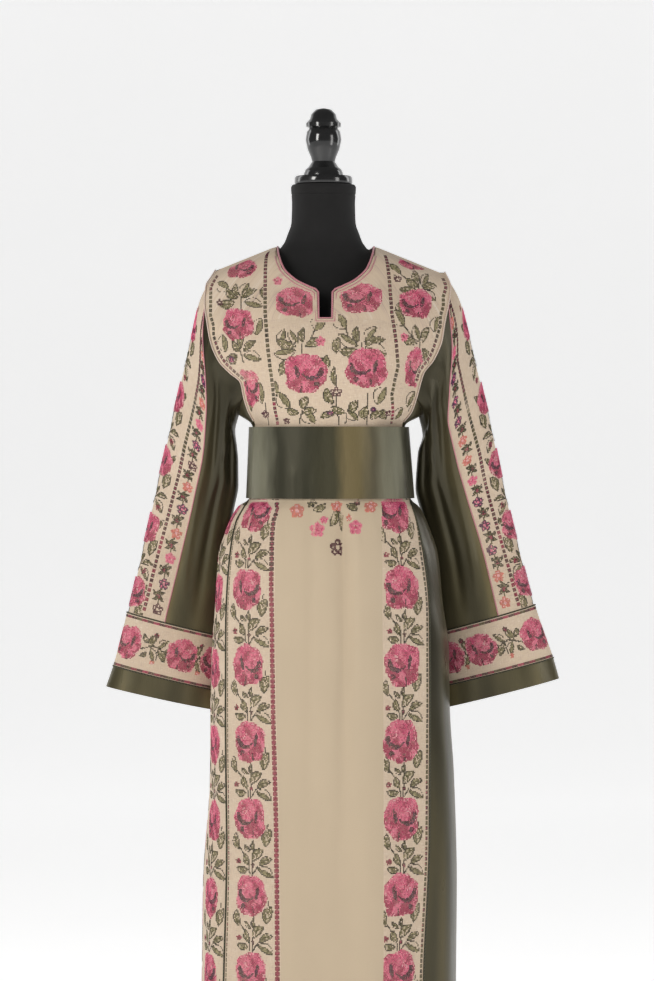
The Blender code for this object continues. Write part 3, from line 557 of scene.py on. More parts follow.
def framed(surface, first, second, steps):
    """Points of a surface, its directions along the first number and its normals."""
    here = surface(first, second)
    along = unit(surface(first + steps[0], second) - surface(first - steps[0], second))
    up = surface(first, second + steps[1]) - surface(first, second - steps[1])
    return here, along, unit(np.cross(along, up))


def shell(name, grid, normals, flat, material, turn=False):
    """A closed thin sheet on a grid of outer points, with its flat lengths as the UV map."""
    if turn:
        normals = -normals
    rows, cols = grid.shape[:2]
    outer = (grid + SHIFT).reshape(-1, 3)
    inner = (grid + SHIFT - normals * CLOTH).reshape(-1, 3)
    index = np.arange(rows * cols).reshape(rows, cols)
    quads = np.stack([index[:-1, :-1], index[:-1, 1:], index[1:, 1:], index[1:, :-1]], axis=-1).reshape(-1, 4)
    spot = grid[rows // 2, cols // 2]
    a = grid[rows // 2, cols // 2 - 1] - spot
    b = grid[rows // 2 - 1, cols // 2] - spot
    if np.dot(np.cross(a, b), normals[rows // 2, cols // 2]) < 0.0:
        quads = quads[:, ::-1]
    back = quads[:, ::-1] + rows * cols
    rim = np.concatenate([index[0, :], index[1:, -1], index[-1, -2::-1], index[-2:0:-1, 0]])
    ahead = np.roll(rim, -1)
    sides = np.stack([ahead, rim, rim + rows * cols, ahead + rows * cols], axis=-1)
    edge = quads[0]
    order = [list(edge).index(rim[0]), list(edge).index(rim[1])] if rim[1] in edge and rim[0] in edge else [0, 1]
    if (order[1] - order[0]) % 4 != 1:
        sides = sides[:, ::-1]
    faces = np.concatenate([quads, back, sides])
    mesh = bpy.data.meshes.new(name)
    mesh.from_pydata(np.concatenate([outer, inner]).tolist(), [], faces.tolist())
    uvs = np.concatenate([flat.reshape(-1, 2), flat.reshape(-1, 2)])
    layer = mesh.uv_layers.new(name="UVMap")
    corners = np.empty(len(mesh.loops), dtype=np.int32)
    mesh.loops.foreach_get("vertex_index", corners)
    layer.data.foreach_set("uv", uvs[corners].astype(np.float32).ravel())
    mesh.materials.append(material)
    mesh.shade_smooth()
    mesh.set_sharp_from_angle(angle=math.radians(CLOTH_ANGLE))
    made = bpy.data.objects.new(name, mesh)
    bpy.context.scene.collection.objects.link(made)
    return made


def flat_lengths(grid):
    """Distance across and up a grid of points, in metres, measured from its middle column."""
    step = np.linalg.norm(np.diff(grid, axis=1), axis=-1)
    u = np.concatenate([np.zeros((len(grid), 1)), np.cumsum(step, axis=1)], axis=1)
    u -= u[:, u.shape[1] // 2][:, None]
    rise = np.linalg.norm(np.diff(grid[:, grid.shape[1] // 2], axis=0), axis=-1)
    v = np.concatenate([[0.0], np.cumsum(rise)])
    return np.stack([u, np.broadcast_to(v[:, None], u.shape)], axis=-1)


# Materials

class Graph:
    """A material's node tree, with short calls for its nodes."""

    def __init__(self, name):
        self.material = bpy.data.materials.new(name)
        self.material.use_nodes = True
        self.tree = self.material.node_tree
        self.tree.nodes.clear()
        self.count = 0

    def node(self, kind, inputs=(), **settings):
        made = self.tree.nodes.new(kind)
        made.location = (180 * (self.count % 8), -220 * (self.count // 8))
        self.count += 1
        for key, value in settings.items():
            setattr(made, key, value)
        for key, value in dict(inputs).items():
            socket = made.inputs[key]
            if isinstance(value, bpy.types.Node):
                value = value.outputs[0]
            if isinstance(value, bpy.types.NodeSocket):
                self.tree.links.new(value, socket)
            else:
                socket.default_value = value
        return made

    def metres(self, scale):
        """The cloth's own flat position, stretched by a scale."""
        place = self.node("ShaderNodeUVMap", uv_map="UVMap")
        return self.node("ShaderNodeMapping", {"Vector": place, "Scale": scale})

    def space(self):
        return self.node("ShaderNodeTexCoord").outputs["Object"]

    def noise(self, vector, scale, detail=3.0, rough=0.6):
        inputs = {"Vector": vector, "Scale": scale, "Detail": detail, "Roughness": rough}
        return self.node("ShaderNodeTexNoise", inputs)

    def math(self, operation, first, second=0.5):
        return self.node("ShaderNodeMath", {0: first, 1: second}, operation=operation)

    def ramp(self, factor, stops):
        made = self.node("ShaderNodeValToRGB", {"Fac": factor})
        ramp = made.color_ramp
        while len(ramp.elements) < len(stops):
            ramp.elements.new(1.0)
        for element, (place, colour) in zip(ramp.elements, stops):
            element.position = place
            element.color = (*colour, 1.0)
        return made

    def mix(self, factor, first, second, blend="MIX"):
        made = self.node("ShaderNodeMix", data_type="RGBA", blend_type=blend)
        for socket, value in ((made.inputs[0], factor), (made.inputs[6], first), (made.inputs[7], second)):
            if isinstance(value, bpy.types.Node):
                value = value.outputs[0]
            if isinstance(value, bpy.types.NodeSocket):
                self.tree.links.new(value, socket)
            else:
                socket.default_value = value if isinstance(value, float) else (*value, 1.0)
        return made.outputs[2]

    def bump(self, height, strength, distance, normal=None):
        inputs = {"Height": height, "Strength": strength, "Distance": distance}
        if normal:
            inputs["Normal"] = normal
        return self.node("ShaderNodeBump", inputs)

    def finish(self, colour, rough, normal=None, **extra):
        inputs = {"Base Color": colour, "Roughness": rough}
        if normal:
            inputs["Normal"] = normal
        inputs.update({key.replace("_", " ").title(): value for key, value in extra.items()})
        shader = self.node("ShaderNodeBsdfPrincipled", inputs)
        self.node("ShaderNodeOutputMaterial", {"Surface": shader.outputs[0]})
        return self.material


def woven(graph, pitch, strength, distance):
    """Bump of warp and weft threads at a pitch in metres."""
    place = graph.metres((1.0, 1.0, 1.0))
    scale = 1.0 / (pitch * 2.0)
    warp = graph.node("ShaderNodeTexWave", {"Vector": place, "Scale": scale, "Distortion": 0.6, "Detail": 1.0})
    weft = graph.node("ShaderNodeTexWave", {"Vector": place, "Scale": scale, "Distortion": 0.6, "Detail": 1.0},
                      bands_direction="Y")
    return graph.bump(graph.math("MULTIPLY", warp.outputs[1], weft.outputs[1]), strength, distance)


def linen_material(colour, fleck, deep):
    graph = Graph("linen_cloth")
    across = graph.noise(graph.metres((90.0, 1400.0, 1.0)), 1.0, 2.0)
    along = graph.noise(graph.metres((1400.0, 90.0, 1.0)), 1.0, 2.0)
    slub = graph.math("ADD", across, along)
    heather = graph.ramp(graph.math("MULTIPLY", slub, 0.5),
                         [(0.36, deep), (0.46, colour), (0.54, colour), (0.66, fleck)])
    broad = graph.noise(graph.metres((9.0, 9.0, 1.0)), 1.0)
    shade = graph.ramp(broad, [(0.3, (0.93, 0.92, 0.90)), (0.7, (1.0, 1.0, 1.0))])
    final = graph.mix(1.0, heather, shade, "MULTIPLY")
    normal = graph.bump(slub, 0.35, 0.0004, woven(graph, 0.0007, 0.5, 0.0003))
    return graph.finish(final, 0.88, normal, sheen_weight=0.15, sheen_roughness=0.5)


def crepe_material(colour):
    graph = Graph("crepe_cloth")
    pebble = graph.noise(graph.metres((900.0, 700.0, 1.0)), 1.0, 2.0)
    # A broad tone from 0.93 to 1 times the colour, its patches longer up the cloth than across: painted soft
    # shade of folds.
    broad = graph.noise(graph.metres((6.0, 3.0, 1.0)), 1.0)
    tone = graph.ramp(broad, [(0.3, tuple(0.93 * c for c in colour)), (0.7, colour)])
    grain = graph.ramp(pebble, [(0.3, (0.94, 0.93, 0.91)), (0.65, (1.0, 1.0, 1.0))])
    normal = graph.bump(pebble, 0.45, 0.0004)
    return graph.finish(graph.mix(1.0, tone, grain, "MULTIPLY"), 0.72, normal, sheen_weight=0.2)


def satin_material(name, colour, glow, rough, painted_bands=(), heights=()):
    """Satin whose colour holds painted sheen: long soft streaks of painted highlight and shade; painted light
    and shade can be placed across it by x and up it by z.
    """
    graph = Graph(name)
    threads = graph.noise(graph.metres((2600.0, 50.0, 1.0)), 1.0, 2.0)
    # Broad streaks stretched along the cloth scale the colour from 0.40 to 2.3 times, the brightest stop tinted
    # warm: painted highlight and painted shade standing in for the sheen of folds.
    broad = graph.noise(graph.metres((19.0, 1.7, 1.0)), 1.0, 1.0)
    painted_highlight = tuple(c * w for c, w in zip(colour, (2.30, 2.15, 1.85)))
    tone = graph.ramp(broad, [(0.30, tuple(0.40 * c for c in colour)), (0.46, tuple(0.85 * c for c in colour)),
                              (0.56, tuple(1.25 * c for c in colour)), (0.72, painted_highlight)])
    spot = graph.node("ShaderNodeSeparateXYZ", {"Vector": graph.space()})
    # Painted light and shade by height: the colour is multiplied by a share that changes with z.
    if heights:
        level = graph.node("ShaderNodeMapRange", {"Value": spot.outputs[2], "From Min": heights[0][0],
                                                  "From Max": heights[-1][0]})
        span = heights[-1][0] - heights[0][0]
        lift = graph.ramp(level, [((z - heights[0][0]) / span, (share,) * 3) for z, share in heights])
        tone = graph.mix(1.0, tone, lift, "MULTIPLY")
    # Painted highlights and shade by x: the streaks are replaced by bands of colour placed across the piece,
    # their edges jittered by noise.
    if painted_bands:
        place = graph.node("ShaderNodeMapRange", {"Value": spot.outputs[0], "From Min": -BAND_REACH,
                                                  "From Max": BAND_REACH})
        soft = graph.noise(graph.metres((30.0, 8.0, 1.0)), 1.0, 2.0)
        shift = graph.math("MULTIPLY", graph.math("SUBTRACT", soft, 0.5), 0.10)
        at = graph.math("ADD", place, shift)
        tone = graph.ramp(at, [((x + BAND_REACH) / (2 * BAND_REACH), shade) for x, shade in painted_bands])
    lines = graph.ramp(threads, [(0.30, (0.80, 0.80, 0.80)), (0.65, (1.0, 1.0, 1.0))])
    ripple = graph.noise(graph.metres((34.0, 9.0, 1.0)), 1.0, 2.0)
    normal = graph.bump(ripple, 0.22, 0.002, graph.bump(threads, 0.16, 0.0002))
    gloss = graph.ramp(ripple, [(0.3, (rough + 0.07,) * 3), (0.7, (rough,) * 3)])
    return graph.finish(graph.mix(1.0, tone, lines, "MULTIPLY"), gloss, normal, sheen_weight=0.10,
                        sheen_roughness=0.35, sheen_tint=(*glow, 1.0), anisotropic=0.45,
                        specular_tint=(0.88, 0.82, 0.62, 1.0))


def piping_material(name, first, second):
    graph = Graph(name)
    twist = graph.node("ShaderNodeTexWave", {"Vector": graph.metres((1.0, 1.0, 1.0)), "Scale": 190.0,
                                             "Distortion": 0.4}, bands_direction="DIAGONAL")
    tone = graph.ramp(twist.outputs[1], [(0.40, first), (0.60, second)])
    return graph.finish(tone, 0.6, graph.bump(twist.outputs[1], 0.6, 0.0006), sheen_weight=0.3)


def cord_material(name, first, second):
    graph = Graph(name)
    twist = graph.node("ShaderNodeTexWave", {"Vector": graph.metres((1.0, 1.0, 1.0)), "Scale": 120.0,
                                             "Distortion": 0.8}, bands_direction="DIAGONAL")
    tone = graph.ramp(twist.outputs[1], [(0.35, first), (0.65, second)])
    return graph.finish(tone, 0.7, graph.bump(twist.outputs[1], 0.6, 0.0005))


def jersey_material(colour):
    graph = Graph("black_jersey")
    place = graph.space()
    knit = graph.node("ShaderNodeTexWave", {"Vector": place, "Scale": 260.0, "Distortion": 2.0, "Detail": 2.0},
                      bands_direction="Z")
    fuzz = graph.noise(place, 900.0, 2.0)
    tone = graph.ramp(graph.noise(place, 24.0), [(0.3, colour), (0.7, tuple(1.5 * c for c in colour))])
    height = graph.math("ADD", knit.outputs[1], fuzz)
    return graph.finish(tone, 0.92, graph.bump(height, 0.3, 0.0003), sheen_weight=0.06, sheen_roughness=0.5)


def lacquer_material(colour):
    graph = Graph("black_lacquer")
    smear = graph.noise(graph.space(), 40.0, 4.0)
    gloss = graph.ramp(smear, [(0.35, (0.12,) * 3), (0.7, (0.24,) * 3)])
    tone = graph.ramp(smear, [(0.3, colour), (0.7, tuple(1.6 * c for c in colour))])
    normal = graph.bump(graph.noise(graph.space(), 160.0), 0.05, 0.0004)
    return graph.finish(tone, gloss, normal, coat_weight=0.6)


def iron_material(colour):
    graph = Graph("painted_iron")
    peel = graph.noise(graph.space(), 420.0, 2.0)
    wear = graph.noise(graph.space(), 30.0, 5.0)
    tone = graph.ramp(wear, [(0.35, colour), (0.75, tuple(1.8 * c for c in colour))])
    gloss = graph.ramp(wear, [(0.3, (0.38,) * 3), (0.7, (0.52,) * 3)])
    return graph.finish(tone, gloss, graph.bump(peel, 0.3, 0.0004), metallic=0.2)


def thread_material():
    graph = Graph("cross_stitch_thread")
    dyed = graph.node("ShaderNodeAttribute", attribute_name="thread", attribute_type="GEOMETRY")
    fleck = graph.noise(graph.space(), 700.0, 2.0)
    shade = graph.ramp(fleck, [(0.3, (0.84, 0.84, 0.84)), (0.7, (1.0, 1.0, 1.0))])
    strand = graph.noise(graph.space(), 2400.0, 1.0)
    return graph.finish(graph.mix(1.0, dyed.outputs["Color"], shade, "MULTIPLY"), 0.78,
                        graph.bump(strand, 0.3, 0.0002), sheen_weight=0.04, sheen_roughness=0.4)


def paper_material(colour, glow):
    graph = Graph("pale_ground")
    soft = graph.noise(graph.space(), 1.5, 2.0)
    tone = graph.ramp(soft, [(0.3, colour), (0.7, tuple(min(1.0, 1.02 * c) for c in colour))])
    return graph.finish(tone, 0.9, graph.bump(graph.noise(graph.space(), 300.0), 0.05, 0.0005),
                        emission_color=(1.0, 1.0, 1.0, 1.0), emission_strength=glow)


MATERIALS = {}
BAND_REACH = 0.150

# Painted highlights and shade of the belt from one side to the other, standing in for the sheen of its folds.
# Columns: x, colour
BELT_PAINTED_LIGHT = [
    (-0.125, (0.050, 0.048, 0.034)), (-0.112, (0.210, 0.205, 0.150)), (-0.096, (0.180, 0.176, 0.125)),
    (-0.074, (0.022, 0.022, 0.014)), (-0.022, (0.026, 0.026, 0.016)), (-0.002, (0.050, 0.047, 0.028)),
    (0.016, (0.056, 0.052, 0.030)), (0.034, (0.185, 0.145, 0.070)), (0.058, (0.165, 0.130, 0.060)),
    (0.078, (0.058, 0.048, 0.024)), (0.096, (0.150, 0.145, 0.100)), (0.118, (0.215, 0.210, 0.150)),
    (0.131, (0.045, 0.044, 0.030)),
]

# Painted light and shade up the sleeves: share of the satin's colour, brighter low down and darker near the
# shoulders. Columns: z, share
SLEEVE_PAINTED_LIGHT = [(0.74, 2.2), (0.90, 2.3), (1.06, 1.25), (1.18, 0.76), (1.34, 0.62)]


def make_materials(looks):
    MATERIALS["linen"] = linen_material(tuple(looks.linen), (0.80, 0.70, 0.60), (0.56, 0.42, 0.36))
    MATERIALS["crepe"] = crepe_material(tuple(looks.crepe))
    MATERIALS["satin"] = satin_material("olive_satin_painted_sheen", tuple(looks.satin), (0.75, 0.70, 0.52), 0.27)
    MATERIALS["belt"] = satin_material("olive_belt_satin_painted_light", tuple(looks.satin), (0.75, 0.70, 0.52), 0.33,
                                       BELT_PAINTED_LIGHT)
    MATERIALS["sleeve"] = satin_material("olive_sleeve_satin_painted_light", tuple(looks.satin), (0.75, 0.70, 0.52), 0.27,
                                         heights=SLEEVE_PAINTED_LIGHT)
    MATERIALS["piping"] = piping_material("pink_piping", (0.52, 0.14, 0.20), (0.66, 0.32, 0.33))
    MATERIALS["cream_piping"] = piping_material("cream_piping", (0.60, 0.44, 0.36), (0.74, 0.62, 0.52))
    MATERIALS["cord"] = cord_material("dark_olive_cord", (0.020, 0.020, 0.012), (0.075, 0.070, 0.035))
    MATERIALS["jersey"] = jersey_material((0.0045, 0.0042, 0.0042))
    MATERIALS["lacquer"] = lacquer_material((0.008, 0.008, 0.008))
    MATERIALS["iron"] = iron_material((0.012, 0.012, 0.013))
    MATERIALS["thread"] = thread_material()


# The garment's pieces

LEVEL_ROW = 0.045


def garment_piece(name, surface, first, second, steps, finish, turn=None, look=None):
    grid, _, normals = framed(surface, first, second, steps)
    flat = flat_lengths(grid)
    made = shell(name + "_cloth", grid, normals, flat, MATERIALS[look or finish], bool(turn))
    level = np.ptp(grid[..., 2], axis=1) < LEVEL_ROW
    length = float(np.max(np.linalg.norm(np.diff(grid, axis=0), axis=-1).sum(axis=0)))
    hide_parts(name)
    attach(made, "root")
    return made


SLIT_T = 0.655


def bodice_crossings(back):
    """Where the bodice's columns stand, and how far up each one runs."""
    cuts = [row[0] for row in NECKLINE][2:] if back else [row[0] for row in NECKLINE]
    filler = np.linspace(0.012, NECK_HALF - 0.004, 9)
    middle = [0.0, 0.003] if back else []
    inside = sorted(set(cuts) | {float(v) for v in filler} | set(middle))
    offsets = np.array(sorted({-v for v in inside} | set(inside)))
    crossing = across(offsets)
    left = np.linspace(-1.0, float(crossing[0]), 17)[:-1]
    right = np.linspace(float(crossing[-1]), 1.0, 17)[1:]
    tops = np.concatenate([np.ones(16), neck_t(offsets, back), np.ones(16)])
    return np.concatenate([left, crossing, right]), tops


def build_bodice():
    shares = np.concatenate([np.linspace(0.0, 0.75, 17), np.linspace(0.79, 1.0, 9)])
    for back, name, finish in ((False, "bodice_front", "linen"), (True, "bodice_back", "satin")):
        crossings, tops = bodice_crossings(back)
        level = np.linspace(0.0, SLIT_T, 36)[:-1, None] + 0.0 * tops[None, :]
        t = np.concatenate([level, SLIT_T + shares[:, None] * (tops[None, :] - SLIT_T)])
        c = np.broadcast_to(crossings[None, :], t.shape).copy()
        garment_piece(name, lambda a, b, face=back: bodice_point(a, b, face), c, t, (0.01, 0.004), finish,
                      turn=back)
    for side, name in SIDES:
        ws = np.linspace(0.0, 1.0, 21)
        vs = np.linspace(0.0, 1.0, 21)
        w, v = np.meshgrid(ws, vs)
        garment_piece("bodice_side_" + name, lambda a, b, s=side: underarm_point(s, a, b), w, v,
                      (0.01, 0.01), "satin", turn=side < 0)


def build_belt():
    rows = np.linspace(BELT_BOTTOM_Z, BELT_TOP_Z, 26)
    for name, start, end in (("belt_front", -90.0, 90.0), ("belt_back", 90.0, 270.0)):
        low, high = np.full_like(rows, start), np.full_like(rows, end)
        angle, z = between(low, high, 91, rows)
        garment_piece(name, belt_point, angle, z, (1.0, 0.004), "satin", look="belt")


def panel_edge(edge, rows):
    """The angle of a panel's edge by height: one fixed angle, or a front seam by its number."""
    if isinstance(edge, float):
        return np.full_like(rows, edge)
    return seam_angle(rows, SEAM_COLUMNS[edge](rows))


def build_skirt():
    rows = np.concatenate([np.linspace(HEM_Z, 0.90, 86)[:-1], np.linspace(0.90, WAIST_Z, 40)])
    spans = (
        ("skirt_side_band_left", SEAM_LEFT_BACK, 0, 24, "linen"),
        ("skirt_band_left", 0, 1, 14, "linen"),
        ("skirt_centre_front", 1, 2, 28, "crepe"),
        ("skirt_band_right", 2, 3, 14, "linen"),
        ("skirt_side_right", 3, SEAM_RIGHT_BACK, 24, "satin"),
        ("skirt_back", SEAM_RIGHT_BACK, 360.0 + SEAM_LEFT_BACK, 60, "satin"),
    )
    for name, start, end, count, finish in spans:
        low, high = panel_edge(start, rows), panel_edge(end, rows)
        angle, z = between(low, high, count + 1, rows)
        garment_piece(name, skirt_point, angle, z, (1.0, 0.004), finish)


def build_sleeves():
    rows = np.concatenate([np.linspace(0.0, 1.0, 21)[:-1], np.linspace(1.0, CUFF_ROW, 58)])
    for side, name in SIDES:
        surface = lambda turn, row, s=side: sleeve_point(s, turn, row)
        front, back = strip_edge(side, rows, False), strip_edge(side, rows, True)
        parts = (("strip", -back, front, 26, "linen"), ("front", front, np.ones_like(rows), 34, "satin"),
                 ("back", -np.ones_like(rows), -back, 34, "satin"))
        for part, low, high, count, finish in parts:
            turn, row = between(low, high, count, rows)
            garment_piece("sleeve_%s_%s" % (name, part), surface, turn, row, (0.01, 0.02), finish,
                          turn=side < 0, look="sleeve" if finish == "satin" else None)
        for face, low, high in (("front", 0.0, 1.0), ("back", -1.0, 0.0)):
            for label, first, last, count, finish in (
                    ("cuff", CUFF_ROW + 0.0035, CUFF_HEM_ROW - 0.0015, 14, "linen"),
                    ("cuff_hem", CUFF_HEM_ROW + 0.005, LAST_ROW, 7, "satin")):
                levels = np.linspace(first, last, count)
                spread = 0.5 - 0.5 * np.cos(np.pi * np.linspace(0.0, 1.0, 37))
                turn = np.broadcast_to((low + (high - low) * spread)[None, :], (count, 37)).copy()
                row = np.broadcast_to(levels[:, None], turn.shape).copy()
                garment_piece("%s_%s_%s" % (label, name, face), surface, turn, row, (0.01, 0.02), finish,
                              turn=side < 0, look="sleeve" if finish == "satin" else None)


# The form and its stand

FORM = [
    (0.800, 0.144, 0.104, 0.106), (0.815, 0.152, 0.112, 0.114), (0.900, 0.148, 0.108, 0.110),
    (0.980, 0.130, 0.098, 0.094), (1.060, 0.104, 0.092, 0.082), (1.140, 0.101, 0.092, 0.080),
    (1.220, 0.108, 0.102, 0.086), (1.270, 0.118, 0.112, 0.090), (1.320, 0.132, 0.102, 0.090),
    (1.360, 0.144, 0.078, 0.080), (1.385, 0.147, 0.060, 0.064), (1.402, 0.142, 0.048, 0.052),
    (1.416, 0.128, 0.041, 0.045), (1.430, 0.104, 0.038, 0.042), (1.440, 0.084, 0.038, 0.042),
    (1.447, 0.070, 0.040, 0.044), (1.458, 0.062, 0.044, 0.046), (1.470, 0.0575, 0.047, 0.048),
    (1.488, 0.0515, 0.049, 0.050), (1.520, 0.0505, 0.050, 0.050), (1.5455, 0.0520, 0.051, 0.051),
    (1.549, 0.0500, 0.049, 0.049),
]
NECK_CAP = [
    (0.0450, 1.5493), (0.0464, 1.5515), (0.0464, 1.5600), (0.0445, 1.5630), (0.0320, 1.5645),
    (0.0310, 1.5690), (0.0290, 1.5740), (0.0250, 1.5770), (0.0184, 1.5866), (0.0200, 1.5930),
    (0.0255, 1.6060), (0.0288, 1.6212), (0.0270, 1.6340), (0.0225, 1.6400), (0.0278, 1.6420),
    (0.0282, 1.6480), (0.0250, 1.6515), (0.0220, 1.6545), (0.0200, 1.6620), (0.0135, 1.6695),
    (0.0010, 1.6724),
]
BASE = [
    (0.168, 0.0000), (0.170, 0.0020), (0.170, 0.0120), (0.166, 0.0160), (0.060, 0.0230),
    (0.030, 0.0260), (0.024, 0.0340), (0.021, 0.0500),
]
POLE = [(0.0125, 0.0503), (0.0125, 0.7997)]
NECK_SEAM_Z = 1.533
NECK_SEAM_DEPTH = 0.0009


def ringed(name, rings, material, node):
    """A closed solid of level rings, its ends filled."""
    count, sides = rings.shape[:2]
    index = np.arange(count * sides).reshape(count, sides)
    ahead = np.roll(index, -1, axis=1)
    quads = np.stack([index[:-1], ahead[:-1], ahead[1:], index[1:]], axis=-1).reshape(-1, 4).tolist()
    faces = quads + [index[0, ::-1].tolist(), index[-1].tolist()]
    mesh = bpy.data.meshes.new(name)
    mesh.from_pydata(rings.reshape(-1, 3).tolist(), [], faces)
    mesh.materials.append(material)
    mesh.shade_smooth()
    mesh.set_sharp_from_angle(angle=math.radians(TURNED_ANGLE))
    made = bpy.data.objects.new(name, mesh)
    bpy.context.scene.collection.objects.link(made)
    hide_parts(node)
    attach(made, "root")
    return made


def fine_profile(profile, step):
    """The same profile with points added, so that rings stay close together."""
    rows = [profile[0]]
    for first, second in zip(profile, profile[1:]):
        length = max(abs(b - a) for a, b in zip(first, second))
        count = max(1, int(math.ceil(length / step)))
        for k in range(1, count + 1):
            rows.append(tuple(a + (b - a) * k / count for a, b in zip(first, second)))
    return np.array(rows)


def build_form(sides):
    turn = np.linspace(0.0, 2.0 * np.pi, sides, endpoint=False)
    heights = np.unique(np.concatenate([np.array([row[0] for row in FORM]), np.linspace(0.8, 1.549, 90),
                                        NECK_SEAM_Z + np.array([-0.0015, 0.0, 0.0015])]))
    half, front, behind = [curve(heights) for curve in columns(FORM)]
    groove = NECK_SEAM_DEPTH * (np.abs(heights - NECK_SEAM_Z) < 0.0005)
    depth = np.where(np.sin(turn)[None, :] > 0.0, behind[:, None], front[:, None]) - groove[:, None]
    x = (half - groove)[:, None] * np.cos(turn)[None, :]
    rings = points(x, depth * np.sin(turn)[None, :], heights[:, None])
    ringed("form_body", rings, MATERIALS["jersey"], "form_torso")


def build_stand(sides):
    turn = np.linspace(0.0, 2.0 * np.pi, sides, endpoint=False)
    parts = (("neck_finial", NECK_CAP, "lacquer", "neck_cap"), ("stand_base", BASE, "iron", "base"),
             ("stand_pole", POLE, "iron", "pole"))
    for name, profile, finish, node in parts:
        rows = fine_profile(profile, 0.02)
        reach, height = rows[:, :1], rows[:, 1:]
        rings = points(reach * np.cos(turn), reach * np.sin(turn), height)
        ringed(name, rings, MATERIALS[finish], node)


# Charts of cross stitch

CELL = 0.0020
STITCH_LIFT = 0.00008
(BARE, MAROON, DEEP, ROSE, PINK, BLUSH, DARK_LEAF, LEAF, PALE_LEAF, CRIMSON, WINE, CORAL, PLUM,
 OLIVE, LINK) = range(15)
THREADS = np.array([
    (0.0, 0.0, 0.0), (0.080, 0.009, 0.028), (0.430, 0.028, 0.100), (0.680, 0.080, 0.195),
    (0.820, 0.190, 0.300), (0.860, 0.480, 0.480), (0.018, 0.018, 0.010), (0.135, 0.122, 0.044),
    (0.330, 0.290, 0.140), (0.300, 0.012, 0.058), (0.062, 0.006, 0.016), (0.700, 0.190, 0.150),
    (0.085, 0.014, 0.070), (0.085, 0.074, 0.024), (0.420, 0.110, 0.130),
])
BARE_HERE = -1
FLOWER_COLOURS = ((PINK, DEEP), (CORAL, BLUSH), (WINE, DEEP), (CORAL, BLUSH), (PINK, ROSE), (MAROON, BARE_HERE),
                  (PLUM, PINK), (DARK_LEAF, PALE_LEAF), (CRIMSON, DARK_LEAF))


def hashed(i, j, seed):
    value = np.sin(i * 12.9898 + j * 78.233 + seed * 37.719) * 43758.5453
    return value - np.floor(value)


class Flat:
    """A stretch of a surface laid flat: u metres across from a line, v metres along it."""

    def __init__(self, surface, low, high, middle, first, last, spine=None, rows=150, cols=80):
        self.surface = surface
        self.second = np.linspace(first, last, rows)
        self.first, second = between(low(self.second), high(self.second), cols, self.second)
        self.points = surface(self.first, second)
        step = np.linalg.norm(np.diff(self.points, axis=1), axis=-1)
        self.u = np.concatenate([np.zeros((rows, 1)), np.cumsum(step, axis=1)], axis=1)
        for row in range(rows):
            self.u[row] -= np.interp(middle(self.second)[row], self.first[row], self.u[row])
        line = surface((spine or middle)(self.second), self.second)
        self.v = run_lengths(line)

    def numbers(self, u, v):
        """The surface's two numbers at flat places that come in rows of one v."""
        place = np.interp(v, self.v, np.arange(len(self.v)))
        low = np.minimum(place.astype(int), len(self.v) - 2)
        share = place - low
        first = np.empty((len(v), len(u)))
        for i in range(len(v)):
            across_u = self.u[low[i]] * (1 - share[i]) + self.u[low[i] + 1] * share[i]
            across_a = self.first[low[i]] * (1 - share[i]) + self.first[low[i] + 1] * share[i]
            first[i] = np.interp(u, across_u, across_a, left=np.nan, right=np.nan)
        second = np.interp(v, self.v, self.second)
        return first, np.broadcast_to(second[:, None], first.shape).copy()

    def each(self, u, v):
        """The surface's two numbers at flat places in any order."""
        place = np.interp(v, self.v, np.arange(len(self.v)))
        low = np.minimum(place.astype(int), len(self.v) - 2)
        share = place - low
        first = np.empty(len(u))
        for i, (at, part) in enumerate(zip(low, share)):
            across_u = self.u[at] * (1 - part) + self.u[at + 1] * part
            across_a = self.first[at] * (1 - part) + self.first[at + 1] * part
            first[i] = np.interp(u[i], across_u, across_a, left=np.nan, right=np.nan)
        return first, np.interp(v, self.v, self.second)

    def find(self, x, z):
        """The flat place that is seen at x and z from straight in front."""
        off = (self.points[..., 0] - x) ** 2 + (self.points[..., 2] - z) ** 2
        off = off + 2e-4 * (self.points[..., 1] - self.points[..., 1].min())
        row, col = np.unravel_index(np.argmin(off), off.shape)
        return float(self.u[row, col]), float(self.v[row])


